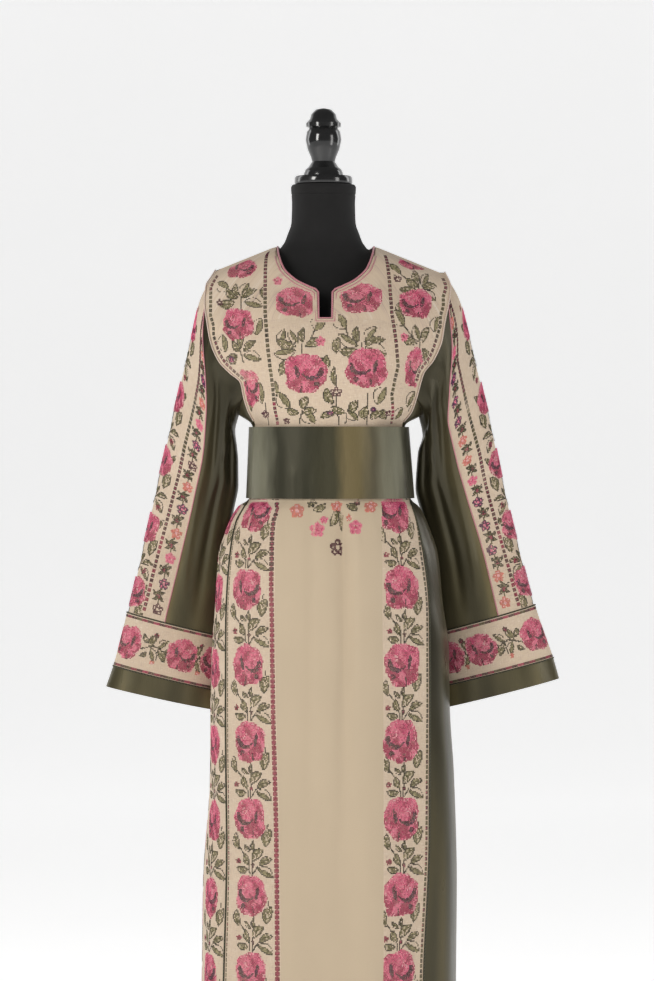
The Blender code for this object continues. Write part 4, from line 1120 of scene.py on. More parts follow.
class Chart:
    """A grid of coloured cells over a flat stretch."""

    def __init__(self, flat):
        self.flat = flat
        self.u = np.arange(flat.u.min() + CELL / 2, flat.u.max(), CELL)
        self.v = np.arange(CELL / 2, flat.v[-1], CELL)
        self.cells = np.zeros((len(self.v), len(self.u)), dtype=int)
        self.blocked = np.zeros(self.cells.shape, dtype=bool)
        self.extra = []

    def paint(self, u, v, reach, rule, over=True):
        """Colours the cells round a place by a rule of their distances from it."""
        cols = np.nonzero(np.abs(self.u - u) < reach)[0]
        rows = np.nonzero(np.abs(self.v - v) < reach)[0]
        if not len(cols) or not len(rows):
            return
        part = np.ix_(rows, cols)
        du, dv = np.meshgrid(self.u[cols] - u, self.v[rows] - v)
        drawn = rule(du, dv)
        seen = drawn != BARE if over else (drawn != BARE) & (self.cells[part] == BARE)
        self.cells[part] = np.where(seen, drawn, self.cells[part])

    def rose(self, u, v, width, height, seed):
        flip = 1.0 if math.sin(7.3 * seed) > 0.0 else -1.0

        def rule(du, dv):
            x, y = flip * du / (width / 2), dv / (height / 2)
            turn = np.arctan2(y, x)
            far = (np.abs(x) ** 2.5 + np.abs(y) ** 2.5) ** 0.4
            outline = 0.95 + 0.035 * np.sin(5 * turn + seed) + 0.030 * np.sin(3 * turn + 1.7 * seed)
            outline = outline + 0.025 * np.sin(9 * turn + 2.3 * seed)
            noise = hashed(np.round(du / CELL), np.round(dv / CELL), seed)
            blotch = np.sin(5.6 * x + seed) * np.cos(4.9 * y + 2 * seed)
            blotch = blotch + 0.5 * np.sin(9 * x - 8 * y + 3 * seed)
            blotch = blotch + 1.1 * (noise - 0.5)
            lower = y < -0.28 + 0.42 * np.abs(x)
            shade = np.where(blotch > 0.50, PINK, np.where(blotch < -0.62, DEEP, ROSE))
            shade = np.where(lower & (blotch < 0.35), DEEP, shade)
            shade = np.where((far > outline - 0.17) & (noise > 0.55) & (y > -0.2), PINK, shade)
            shade = np.where((far > outline - 0.12) & (noise > 0.86), BLUSH, shade)
            bud_x, bud_y = x - 0.26, y - 0.18
            ring, way = np.hypot(bud_x, bud_y * 1.1), np.arctan2(bud_y, bud_x)
            shade = np.where((ring < 0.42) & (blotch > -0.30), np.where(noise > 0.35, PINK, ROSE), shade)
            thick = 0.045 + 0.085 * np.clip(np.cos(way + 0.75), 0.0, 1.0)
            fold = (np.abs(ring - 0.46) < thick) & (way > -2.7) & (way < 0.20)
            drop = ((x + 0.36 + 0.18 * y) / 0.105) ** 2 + ((y - 0.10) / 0.32) ** 2 < 1.0
            tip = np.hypot(x - 0.52, y + 0.52) < 0.13
            dark = (fold | drop | tip) & (noise > 0.08)
            shade = np.where(dark, np.where(noise > 0.22, MAROON, PLUM), shade)
            parted = (np.abs(x + 0.10 - 0.10 * y) < 0.04) & (y < -0.50) & (noise > 0.25)
            shade = np.where(parted, MAROON, shade)
            shine = (np.hypot(x - 0.36, y - 0.32) < 0.17) & (noise > 0.45)
            shade = np.where(shine, np.where(noise > 0.8, BLUSH, PINK), shade)
            return np.where(far < outline, shade, BARE)
        self.paint(u, v, max(width, height) * 0.6, rule)

    def leaf(self, u, v, heading, length, width, open_leaf=False, over=False):
        turn = math.radians(heading)

        def rule(du, dv):
            along = (du * math.cos(turn) + dv * math.sin(turn)) / length
            aside = -du * math.sin(turn) + dv * math.cos(turn)
            inside = (along > 0.0) & (along < 1.0)
            half = width / 2 * np.sin(np.pi * np.clip(along, 0.0, 1.0)) ** 0.7
            aside = aside - 0.10 * length * np.sin(np.pi * np.clip(along, 0.0, 1.0))
            edge = np.abs(aside) > half - CELL * 0.85
            vein = np.abs(aside) < CELL * 0.5
            noise = hashed(np.round(du / CELL), np.round(dv / CELL), heading)
            fill = np.where(noise > 0.62, PALE_LEAF, np.where(noise > 0.16, LEAF, BARE_HERE))
            if open_leaf:
                fill = np.where(aside > 0.0, BARE_HERE, np.where(noise > 0.4, PALE_LEAF, LEAF))
            drawn = np.where(edge, DARK_LEAF, np.where(vein & (noise > 0.3), OLIVE, fill))
            return np.where(inside & (np.abs(aside) < np.maximum(half, CELL * 0.55)), drawn, BARE)
        self.paint(u, v, length * 1.15, rule, over)

    def stem(self, places, colour=DARK_LEAF):
        for (u0, v0), (u1, v1) in zip(places, places[1:]):
            count = max(2, int(math.hypot(u1 - u0, v1 - v0) / (CELL * 0.5)))
            for k in range(count + 1):
                u, v = u0 + (u1 - u0) * k / count, v0 + (v1 - v0) * k / count
                col, row = int(round((u - self.u[0]) / CELL)), int(round((v - self.v[0]) / CELL))
                if 0 <= col < len(self.u) and 0 <= row < len(self.v) and self.cells[row, col] == BARE:
                    self.cells[row, col] = colour

    def flower(self, u, v, size, kind):
        petal, heart = FLOWER_COLOURS[kind]

        def rule(du, dv):
            x, y = du / (size / 2), dv / (size / 2)
            noise = hashed(np.round(du / CELL), np.round(dv / CELL), kind)
            drawn = np.where(np.hypot(x, y) < 0.26, heart, BARE)
            for k in range(5):
                turn = math.radians(18 + 72 * k)
                far = np.hypot(x - 0.62 * math.cos(turn), y - 0.62 * math.sin(turn))
                drawn = np.where(far < 0.40, np.where((far < 0.16) & (noise > 0.35), heart, petal), drawn)
            return drawn
        self.paint(u, v, size * 0.6, rule)

    def braid(self, places, across_count, pattern):
        """A braid of stitches that follow a line; the pattern gives colours by row and column."""
        places = np.asarray(places)
        lengths = run_lengths(places)
        rows = np.arange(int(lengths[-1] / CELL))
        at = (rows + 0.5) * CELL
        u, v = np.interp(at, lengths, places[:, 0]), np.interp(at, lengths, places[:, 1])
        run, rise = np.gradient(u), np.gradient(v)
        size = np.hypot(run, rise)
        for k in range(across_count):
            off = (k - (across_count - 1) / 2) * CELL
            line_u, line_v = u + rise / size * off, v - run / size * off
            self.extra.append((line_u, line_v, pattern(rows, np.full(len(rows), k), lengths[-1] / CELL)))
        near = (across_count / 2 + 0.35) * CELL
        for u0, v0 in zip(u, v):
            cols = np.nonzero(np.abs(self.u - u0) < near)[0]
            levels = np.nonzero(np.abs(self.v - v0) < near)[0]
            self.blocked[np.ix_(levels, cols)] = True

    def places(self, table):
        return [self.flat.find(x, z) for x, z in table]

    def stitched(self, keep):
        """Every stitch's two surface numbers and colour, where keep allows it."""
        first, second = self.flat.numbers(self.u, self.v)
        chosen = (self.cells > 0) & ~self.blocked & np.isfinite(first)
        sets = [(first[chosen], second[chosen], self.cells[chosen])]
        for u, v, colours in self.extra:
            a, b = self.flat.each(u, v)
            real = (colours > 0) & np.isfinite(a)
            sets.append((a[real], b[real], colours[real]))
        first, second, colours = [np.concatenate(part) for part in zip(*sets)]
        good = keep(first, second)
        return first[good], second[good], colours[good]


def bead_braid(beads, across_count=3, bead=3, pitch=4):
    """Beads in a row: each stretch of the braid has its own colour of bead."""
    def pattern(rows, k, total):
        share = rows / total
        chosen = np.full(len(rows), beads[-1][1])
        for limit, colour in reversed(beads):
            chosen = np.where(share < limit, colour, chosen)
        other = np.where(chosen == DARK_LEAF, OLIVE, WINE)
        mixed = np.where(hashed(rows // pitch, 3, 5) > 0.6, other, chosen)
        inside = rows % pitch < bead
        hollow = (rows % pitch == bead // 2) & (k == across_count // 2) & (hashed(rows // pitch, 7, 2) > 0.45)
        return np.where(inside, np.where(hollow, np.where(chosen == DARK_LEAF, LEAF, DEEP), mixed), BARE)
    return pattern


def plain_braid(colours, reach):
    """A solid braid whose colour changes from one stretch to the next."""
    def pattern(rows, k, total):
        return np.array([colours[(row // reach) % len(colours)] for row in rows])
    return pattern


def ring_braid(rows, k, total):
    """Wide beads joined by paler links."""
    phase = rows % 4
    middle = (k == 1) | (k == 2)
    drawn = np.where(phase < 3, np.where((rows // 4) / (total / 4) < 0.12, WINE, CRIMSON), BARE)
    drawn = np.where((phase == 1) & middle & (hashed(rows // 4, 1, 2) > 0.35), DEEP, drawn)
    drawn = np.where((phase == 3) & middle, LINK, drawn)
    return np.where((k == 0) & (phase == 2), WINE, drawn)


# Cross stitch by geometry nodes

STITCH_RISE = 0.00045


def stitch_object():
    """One cross: two raised bars from corner to corner of a cell."""
    reach, wide = CELL * 0.74, CELL * 0.46
    verts, faces = [], []
    for turn, lift in ((45.0, 0.0), (-45.0, 0.00012)):
        c, s = math.cos(math.radians(turn)), math.sin(math.radians(turn))
        start = len(verts)
        for along, aside, rise in ((-1, 0, 0.0), (1, 0, 0.0), (0, -1, 0.0), (0, 1, 0.0), (0, 0, 1.0)):
            a, b = along * reach, aside * wide
            verts.append((a * c - b * s, a * s + b * c, rise * STITCH_RISE + lift))
        for face in ((0, 2, 4), (2, 1, 4), (1, 3, 4), (3, 0, 4)):
            faces.append([start + k for k in face])
    mesh = bpy.data.meshes.new("stitch")
    mesh.from_pydata(verts, [], faces)
    made = bpy.data.objects.new("stitch", mesh)
    bpy.context.scene.collection.objects.link(made)
    return made


def stitch_group():
    """A node group that sets a stitch on every point, turned to lie on the cloth."""
    group = bpy.data.node_groups.new("cross_stitch", "GeometryNodeTree")
    face = group.interface
    face.new_socket("Geometry", in_out="INPUT", socket_type="NodeSocketGeometry")
    face.new_socket("Stitch", in_out="INPUT", socket_type="NodeSocketObject")
    face.new_socket("Size", in_out="INPUT", socket_type="NodeSocketFloat")
    face.new_socket("Unevenness", in_out="INPUT", socket_type="NodeSocketFloat")
    face.new_socket("Seed", in_out="INPUT", socket_type="NodeSocketInt")
    face.new_socket("Thread", in_out="INPUT", socket_type="NodeSocketMaterial")
    face.new_socket("Geometry", in_out="OUTPUT", socket_type="NodeSocketGeometry")
    add, link = group.nodes.new, group.links.new
    source, target = add("NodeGroupInput"), add("NodeGroupOutput")
    reader = add("GeometryNodeObjectInfo")
    link(source.outputs["Stitch"], reader.inputs["Object"])
    facing, along = add("GeometryNodeInputNamedAttribute"), add("GeometryNodeInputNamedAttribute")
    for node, name in ((facing, "facing"), (along, "along")):
        node.data_type = "FLOAT_VECTOR"
        node.inputs["Name"].default_value = name
    axes = add("FunctionNodeAxesToRotation")
    axes.primary_axis, axes.secondary_axis = "Z", "X"
    link(facing.outputs["Attribute"], axes.inputs["Primary Axis"])
    link(along.outputs["Attribute"], axes.inputs["Secondary Axis"])
    lowest, uneven = add("ShaderNodeMath"), add("FunctionNodeRandomValue")
    lowest.operation = "SUBTRACT"
    link(source.outputs["Size"], lowest.inputs[0])
    link(source.outputs["Unevenness"], lowest.inputs[1])
    uneven.data_type = "FLOAT"
    link(lowest.outputs[0], uneven.inputs[2])
    link(source.outputs["Size"], uneven.inputs[3])
    link(source.outputs["Seed"], uneven.inputs["Seed"])
    place = add("GeometryNodeInstanceOnPoints")
    link(source.outputs["Geometry"], place.inputs["Points"])
    link(reader.outputs["Geometry"], place.inputs["Instance"])
    link(axes.outputs["Rotation"], place.inputs["Rotation"])
    link(uneven.outputs[1], place.inputs["Scale"])
    real, dyed = add("GeometryNodeRealizeInstances"), add("GeometryNodeSetMaterial")
    link(place.outputs["Instances"], real.inputs["Geometry"])
    link(real.outputs["Geometry"], dyed.inputs["Geometry"])
    link(source.outputs["Thread"], dyed.inputs["Material"])
    link(dyed.outputs["Geometry"], target.inputs["Geometry"])
    for i, node in enumerate(group.nodes):
        node.location = (200 * (i % 6), -200 * (i // 6))
    return group


def work_chart(name, chart, keep, steps, seed, turn=False):
    """Turns a chart into stitches on its surface, and attaches them to the root."""
    first, second, cells = chart.stitched(keep)
    here, along, normals = framed(chart.flat.surface, first, second, steps)
    if turn:
        normals = -normals
    here = here + normals * STITCH_LIFT + SHIFT
    vary = 0.84 + 0.32 * hashed(np.round(first * 1e5), np.round(second * 1e5), seed)
    dyed = np.clip(THREADS[cells] * vary[:, None], 0.0, 1.0)
    dyed = np.concatenate([dyed, np.ones((len(cells), 1))], axis=1)
    mesh = bpy.data.meshes.new(name + "_places")
    mesh.vertices.add(len(cells))
    mesh.vertices.foreach_set("co", here.astype(np.float32).ravel())
    for label, kind, field, values in (("facing", "FLOAT_VECTOR", "vector", normals),
                                       ("along", "FLOAT_VECTOR", "vector", along),
                                       ("thread", "FLOAT_COLOR", "color", dyed)):
        layer = mesh.attributes.new(label, kind, "POINT")
        layer.data.foreach_set(field, values.astype(np.float32).ravel())
    worker = bpy.data.objects.new(name + "_places", mesh)
    bpy.context.scene.collection.objects.link(worker)
    group = bpy.data.node_groups.get("cross_stitch") or stitch_group()
    stitch = bpy.data.objects.get("stitch") or stitch_object()
    modifier = worker.modifiers.new("stitches", "NODES")
    modifier.node_group = group
    sockets = {item.name: item.identifier for item in group.interface.items_tree if item.in_out == "INPUT"}
    modifier[sockets["Stitch"]] = stitch
    modifier[sockets["Size"]] = 1.0
    modifier[sockets["Unevenness"]] = 0.12
    modifier[sockets["Seed"]] = seed
    modifier[sockets["Thread"]] = MATERIALS["thread"]
    bpy.context.view_layer.update()
    ready = worker.evaluated_get(bpy.context.evaluated_depsgraph_get())
    data = bpy.data.meshes.new_from_object(ready)
    data.name = name
    made = bpy.data.objects.new(name, data)
    bpy.context.scene.collection.objects.link(made)
    bpy.data.objects.remove(worker)
    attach(made, "root")
    return made
# Bodice roses. Columns: x, z, width, height
BODICE_ROSES = [
    (-0.14, 1.416, 0.0608, 0.0448), (-0.1432, 1.325, 0.0608, 0.0544), (-0.124, 1.224, 0.0432, 0.064),
    (-0.0504, 1.36, 0.0672, 0.0576), (0.0504, 1.364, 0.0704, 0.0576), (-0.0376, 1.244, 0.0704, 0.0672),
    (0.0584, 1.253, 0.0704, 0.0672), (0.1336, 1.423, 0.0672, 0.032), (0.1384, 1.357, 0.064, 0.0544),
    (0.132, 1.255, 0.0368, 0.0672),
]
# Bodice leaves. Columns: x, z, heading, length, width, pale
BODICE_LEAVES = [
    (-0.1352, 1.359, -15, 0.0343, 0.0179, 1), (-0.1368, 1.364, 30, 0.0323, 0.0154, 0),
    (-0.1384, 1.367, 62, 0.0302, 0.0154, 1), (-0.1416, 1.367, 100, 0.0262, 0.0128, 0),
    (-0.1448, 1.364, 140, 0.0302, 0.0154, 0), (-0.1464, 1.359, 182, 0.0323, 0.0179, 0),
    (-0.1576, 1.38, 150, 0.0282, 0.023, 1), (-0.1336, 1.274, -12, 0.0323, 0.0179, 1),
    (-0.1336, 1.279, 35, 0.0282, 0.0128, 0), (-0.1368, 1.284, 80, 0.0262, 0.0128, 0),
    (-0.14, 1.28, 130, 0.0242, 0.0128, 0), (-0.1416, 1.274, 195, 0.0262, 0.0179, 0),
    (-0.164, 1.279, 100, 0.0282, 0.023, 1), (-0.116, 1.304, 72, 0.0302, 0.0205, 1),
    (-0.1064, 1.199, 95, 0.0363, 0.0205, 1), (-0.0488, 1.282, 190, 0.0363, 0.0179, 1),
    (-0.0488, 1.288, 160, 0.0343, 0.0154, 0), (-0.0456, 1.292, 125, 0.0282, 0.0128, 1),
    (-0.0408, 1.293, 85, 0.0242, 0.0128, 0), (-0.036, 1.287, 14, 0.0302, 0.0154, 0),
    (0.0568, 1.284, -14, 0.0383, 0.0205, 1), (0.0568, 1.288, 18, 0.0363, 0.0154, 0),
    (0.0536, 1.293, 52, 0.0323, 0.0154, 1), (0.0472, 1.293, 95, 0.0262, 0.0128, 0),
    (0.044, 1.288, 146, 0.0363, 0.0179, 1), (0.044, 1.282, 182, 0.0302, 0.0154, 0),
    (-0.0232, 1.312, 58, 0.0262, 0.023, 1), (0.0264, 1.314, 118, 0.0282, 0.023, 1),
    (0.1144, 1.404, 132, 0.0302, 0.023, 1), (0.14, 1.38, 182, 0.0302, 0.0154, 0),
    (0.1416, 1.384, 146, 0.0282, 0.0154, 0), (0.1432, 1.388, 100, 0.0282, 0.0154, 0),
    (0.1464, 1.384, 58, 0.0302, 0.0154, 1), (0.148, 1.38, 14, 0.0302, 0.0154, 0),
    (0.1496, 1.375, -28, 0.0302, 0.0179, 1), (0.1208, 1.32, 120, 0.0323, 0.023, 1),
    (0.14, 1.293, 155, 0.0302, 0.0154, 0), (0.1432, 1.296, 108, 0.0302, 0.0154, 1),
    (0.148, 1.296, 62, 0.0282, 0.0154, 0), (0.148, 1.285, -58, 0.0323, 0.0154, 0),
    (0.1448, 1.28, -92, 0.0302, 0.0154, 1), (0.1672, 1.311, 82, 0.0282, 0.0205, 1),
    (-0.06, 1.191, 125, 0.0343, 0.023, 1), (-0.0456, 1.184, 160, 0.0222, 0.0154, 0),
    (-0.0424, 1.188, 70, 0.0242, 0.0154, 0), (-0.0392, 1.183, 12, 0.0242, 0.0154, 0),
    (-0.02, 1.165, 118, 0.0343, 0.023, 1), (-0.012, 1.175, 28, 0.0262, 0.0154, 0),
    (0.0072, 1.196, 112, 0.0302, 0.0154, 0), (0.0136, 1.224, 95, 0.0343, 0.0102, 0),
    (0.028, 1.183, 150, 0.0262, 0.0154, 0), (0.0344, 1.183, 70, 0.0262, 0.0154, 0),
    (0.0456, 1.172, 124, 0.0282, 0.0179, 1), (0.0568, 1.173, 84, 0.0282, 0.0179, 0),
    (0.0648, 1.173, 40, 0.0302, 0.0179, 0), (0.0776, 1.197, 62, 0.0343, 0.023, 1),
    (0.0888, 1.173, 116, 0.0262, 0.0179, 0), (0.1048, 1.173, 70, 0.0282, 0.0205, 1),
    (0.124, 1.192, 62, 0.0323, 0.0179, 1), (0.1336, 1.18, 92, 0.0262, 0.0154, 0),
    (-0.1224, 1.184, 74, 0.0242, 0.0154, 1), (-0.0024, 1.274, 250, 0.0282, 0.0154, 0),
    (-0.0104, 1.271, 290, 0.0242, 0.0128, 0), (-0.076, 1.285, 78, 0.0302, 0.0154, 1),
    (-0.0728, 1.266, 255, 0.0262, 0.0154, 0), (0.012, 1.276, 80, 0.0262, 0.0154, 0),
    (-0.0792, 1.208, 98, 0.0282, 0.0154, 1), (-0.1064, 1.365, 70, 0.0242, 0.0128, 0),
    (0.1144, 1.336, 100, 0.0242, 0.0128, 1),
]
# Bodice stems. Each is a line of x, z
BODICE_STEMS = [
    [(-0.14, 1.3476), (-0.1384, 1.3652)],
    [(-0.132, 1.2628), (-0.1368, 1.282)],
    [(-0.0424, 1.274), (-0.0424, 1.2916)],
    [(0.052, 1.2788), (0.0504, 1.2932)],
    [(0.1448, 1.3716), (0.1432, 1.3876)],
    [(0.1448, 1.2724), (0.1448, 1.2964)],
    [(0.0184, 1.1652), (0.0136, 1.1988), (0.012, 1.2308)],
    [(-0.0456, 1.1668), (-0.0424, 1.1876)],
    [(0.06, 1.1652), (0.06, 1.2148)],
    [(0.028, 1.1668), (0.0328, 1.1924)],
    [(-0.0968, 1.1652), (-0.1, 1.1988)],
    [(-0.0232, 1.3124), (-0.0296, 1.2916)],
    [(0.0264, 1.314), (0.0376, 1.2916)],
    [(0.1208, 1.3204), (0.14, 1.2932)],
    [(0.1144, 1.4036), (0.1368, 1.3844)],
]
# Small flowers above the belt and between the roses. Columns: x, z, size, kind
BODICE_BUDS = [
    (-0.172, 1.36, 0.0128, 5), (-0.0104, 1.295, 0.016, 0), (0.1096, 1.396, 0.0144, 5),
    (0.1176, 1.303, 0.0144, 0), (-0.0984, 1.181, 0.0176, 5), (0.0136, 1.215, 0.0176, 5),
    (-0.1512, 1.268, 0.0128, 6), (-0.0792, 1.391, 0.016, 0), (-0.0648, 1.172, 0.0128, 5),
    (0.0968, 1.183, 0.0128, 5), (0.004, 1.183, 0.0112, 6), (0.0728, 1.188, 0.0112, 6),
]
# Bodice braid left from the top down. Columns: x, z
BODICE_BRAID_LEFT = [
    (-0.0968, 1.443), (-0.0976, 1.34), (-0.0824, 1.164),
]
# Bodice braid right from the top down. Columns: x, z
BODICE_BRAID_RIGHT = [
    (0.0898, 1.434), (0.1008, 1.34), (0.109, 1.256), (0.1016, 1.212), (0.0984, 1.165),
]
# Sleeve braid left from the top down. Columns: x, z
SLEEVE_BRAID_LEFT = [
    (-0.1976, 1.349), (-0.2064, 1.237), (-0.229, 1.133), (-0.26, 1.012), (-0.2984, 0.8644),
]
# Sleeve braid right from the top down. Columns: x, z
SLEEVE_BRAID_RIGHT = [
    (0.1928, 1.365), (0.2051, 1.268), (0.2432, 1.119), (0.308, 0.874),
]
# Motif under the belt. Columns: x, z, size, kind
FRONT_FLOWERS = [
    (-0.0496, 1.03, 0.024, 3), (-0.0176, 1, 0.0248, 4), (-0.0072, 1.016, 0.0128, 4),
    (0.0664, 1.037, 0.0224, 3), (0.0432, 1.004, 0.0232, 4), (0.0315, 1.019, 0.0112, 3),
    (0.0142, 0.9727, 0.0264, 5), (0.0126, 1.038, 0.0192, 3), (-0.0264, 1.041, 0.0144, 7),
    (0.0448, 1.043, 0.0112, 2),
]
# Leaves under the belt. Columns: x, z, heading, length, width
FRONT_LEAVES = [
    (0.0128, 1.032, -112, 0.0288, 0.0144), (0.016, 1.031, -78, 0.0352, 0.0112),
    (-0.004, 1.04, 208, 0.024, 0.0128), (0.028, 1.04, -30, 0.0208, 0.0128),
    (-0.0168, 1.042, 150, 0.0144, 0.008),
]



# Embroidered panels

ROSE_WIDTH = 0.052
ROSE_HEIGHT = 0.066
ROSE_PITCH = 0.120
WORKED_LOW = HEM_Z + 0.001
WORKED_HIGH = BELT_BOTTOM_Z - 0.001
LAST_ROSE_Z = 0.083
ROSE_DROP = 0.03
BODICE_REACH = 0.192
CUFF_COLOURS = (WINE, CRIMSON, WINE, OLIVE, CRIMSON, WINE, DEEP)
CENTRE_BEADS = [(0.12, CRIMSON), (0.34, WINE), (0.62, DARK_LEAF), (0.86, DARK_LEAF), (1.0, CRIMSON)]
RIGHT_BEADS = [(0.14, WINE), (0.26, OLIVE), (0.62, WINE), (0.86, DARK_LEAF), (1.0, CRIMSON)]
EDGE_BEADS = [(0.16, WINE), (0.60, DARK_LEAF), (1.0, WINE)]
SLEEVE_BEADS = [(0.3, WINE), (0.5, DARK_LEAF), (0.75, WINE), (1.0, CRIMSON)]
DARK_BEADS = [(0.4, DARK_LEAF), (0.7, OLIVE), (1.0, DARK_LEAF)]
SLEEVE_ROSES = {
    -1: [(-0.2104, 1.3012), (-0.2360, 1.2052), (-0.2584, 1.1044), (-0.2824, 0.9972), (-0.3112, 0.8980)],
    1: [(0.2136, 1.3044), (0.2488, 1.2052), (0.2728, 1.1060), (0.2968, 1.0068), (0.3192, 0.9140)],
}
# Leaves by each rose of a sleeve. Columns: u, v from the rose, heading, length, width, half bare
SLEEVE_LEAVES = [
    (0.0270, -0.0440, 70, 0.0290, 0.0175, 0), (0.0130, -0.0600, 6, 0.0260, 0.0100, 0),
    (0.0140, -0.0650, -44, 0.0280, 0.0135, 1), (0.0120, -0.0560, 64, 0.0150, 0.0080, 0),
    (0.0340, 0.0020, 66, 0.0180, 0.0090, 0), (0.0300, -0.0200, -62, 0.0160, 0.0085, 1),
]
SLEEVE_FLOWERS = {-1: (5, 6, 4, 3, 6, 3), 1: (3, 3, 6, 6, 6, 4)}
SLEEVE_BRAIDS = {-1: SLEEVE_BRAID_LEFT, 1: SLEEVE_BRAID_RIGHT}
CUFF_ROSES = {
    -1: [(-0.3224, 0.8212), (-0.2360, 0.7940), (-0.1880, 0.7700)],
    1: [(0.3320, 0.8324), (0.2488, 0.7972), (0.1992, 0.7764)],
}


def everywhere(first, second):
    return np.ones(first.shape, dtype=bool)


def work_bodice():
    spine = lambda z: np.full_like(z, 0.10)
    edge = lambda z: np.full_like(z, BODICE_REACH)
    flat = Flat(bodice_level, lambda z: -edge(z), edge, np.zeros_like, BELT_TOP_Z - 0.004, 1.446, spine)
    chart = Chart(flat)
    for i, (x, z, width, height) in enumerate(BODICE_ROSES):
        u, v = flat.find(x, z)
        chart.rose(u, v, width, height, 1.0 + 1.37 * i)
    for table, beads in ((BODICE_BRAID_LEFT, CENTRE_BEADS), (BODICE_BRAID_RIGHT, RIGHT_BEADS)):
        chart.braid(chart.places(table), 3, bead_braid(beads))
    for side in (-1, 1):
        ts = np.linspace(0.97, 0.40, 12)
        xs = side * (half_width(side, ts) - 0.0072)
        zs = WAIST_Z + ts * (shoulder_z(xs) - WAIST_Z)
        border = [flat.find(float(x), float(z)) for x, z in zip(xs, zs)]
        chart.braid(border, 3, bead_braid(EDGE_BEADS))
    for x, z, heading, length, width, opened in BODICE_LEAVES:
        u, v = flat.find(x, z)
        chart.leaf(u, v, heading, length, width, bool(opened))
    for table in BODICE_STEMS:
        chart.stem(chart.places(table))
    for x, z, size, kind in BODICE_BUDS:
        u, v = flat.find(x, z)
        chart.flower(u, v, size, kind)

    def keep(x, z):
        t = (z - WAIST_Z) / (shoulder_z(x) - WAIST_Z)
        off = np.abs(x - NECK_SHIFT)
        collar = np.where(off < NECK_HALF + 0.003, NECK_FRONT(np.maximum(off - 0.0075, 0.0)) - 0.0045, 9.0)
        return (np.abs(x) < half_width(x, np.clip(t, 0.0, 1.0)) - 0.0035) & (t < 0.985) & (z < collar)
    work_chart("stitches_bodice", chart, keep, (0.002, 0.002), 3)


# A vine above a rose, from the rose's centre. Columns: u, v, heading, length, width, half bare
VINE_LEAVES = [
    (0.0120, 0.0430, -25, 0.0310, 0.0165, 1), (0.0140, 0.0480, 24, 0.0270, 0.0125, 0),
    (0.0010, 0.0540, 40, 0.0290, 0.0160, 0), (0.0060, 0.0670, 97, 0.0200, 0.0070, 0),
    (-0.0010, 0.0690, 140, 0.0160, 0.0080, 1), (0.0000, 0.0720, 72, 0.0110, 0.0065, 0),
    (-0.0040, 0.0470, 113, 0.0210, 0.0120, 0), (-0.0060, 0.0400, 172, 0.0210, 0.0125, 0),
    (-0.0230, 0.0710, 100, 0.0270, 0.0125, 0), (0.0260, 0.0770, 70, 0.0300, 0.0180, 0),
]
VINE_STEMS = [
    [(0.0015, 0.0330), (0.0020, 0.0480), (0.0050, 0.0680)],
    [(-0.0030, 0.0340), (-0.0040, 0.0450), (-0.0130, 0.0640), (-0.0210, 0.0740)],
    [(0.0030, 0.0340), (0.0120, 0.0460)], [(0.0300, 0.1060), (0.0310, 0.1120)],
]
VINE_BUDS = [(-0.0235, 0.0530, 0.0100, 8), (0.0030, 0.0470, 0.0070, 2)]


def vine(chart, u, v, side):
    """The stems, leaves and buds over a rose, turned to one side or the other."""
    for du, dv, heading, length, width, opened in VINE_LEAVES:
        chart.leaf(u + side * du, v + dv, heading if side > 0 else 180 - heading, length, width, bool(opened))
    for places in VINE_STEMS:
        chart.stem([(u + side * du, v + dv) for du, dv in places])
    for du, dv, size, kind in VINE_BUDS:
        chart.flower(u + side * du, v + dv, size, kind)


def band_column(chart, u, z_first, side, seed, width=ROSE_WIDTH, height=ROSE_HEIGHT):
    """A column of roses down a band, each with a vine above it."""
    flat = chart.flat
    centres = np.arange(z_first, 0.0, -ROSE_PITCH)
    heights = [float(np.interp(z, flat.second, flat.v)) for z in centres if z > LAST_ROSE_Z - ROSE_DROP]
    for i, v in enumerate(heights):
        here = u + 0.0015 * math.sin(2.1 * i + seed)
        chart.rose(here, v, width, height, seed + 1.61 * i)
        vine(chart, here, v, side)


def work_band(low, high, seed, first_z, u, width, height):
    flat = Flat(skirt_point, low, high, lambda z: (low(z) + high(z)) / 2, WORKED_LOW, WORKED_HIGH)
    chart = Chart(flat)
    band_column(chart, u, first_z, 1, seed, width, height)
    return flat, chart


def edge_line(flat, column, inset):
    """A line down a flat stretch, at a distance from its first or its last column."""
    rows = [*range(len(flat.v) - 1, 0, -12), 0]
    return [(float(flat.u[i, column]) + inset, float(flat.v[i])) for i in rows]


def seam_line(index):
    return lambda z: seam_angle(z, SEAM_COLUMNS[index](z))


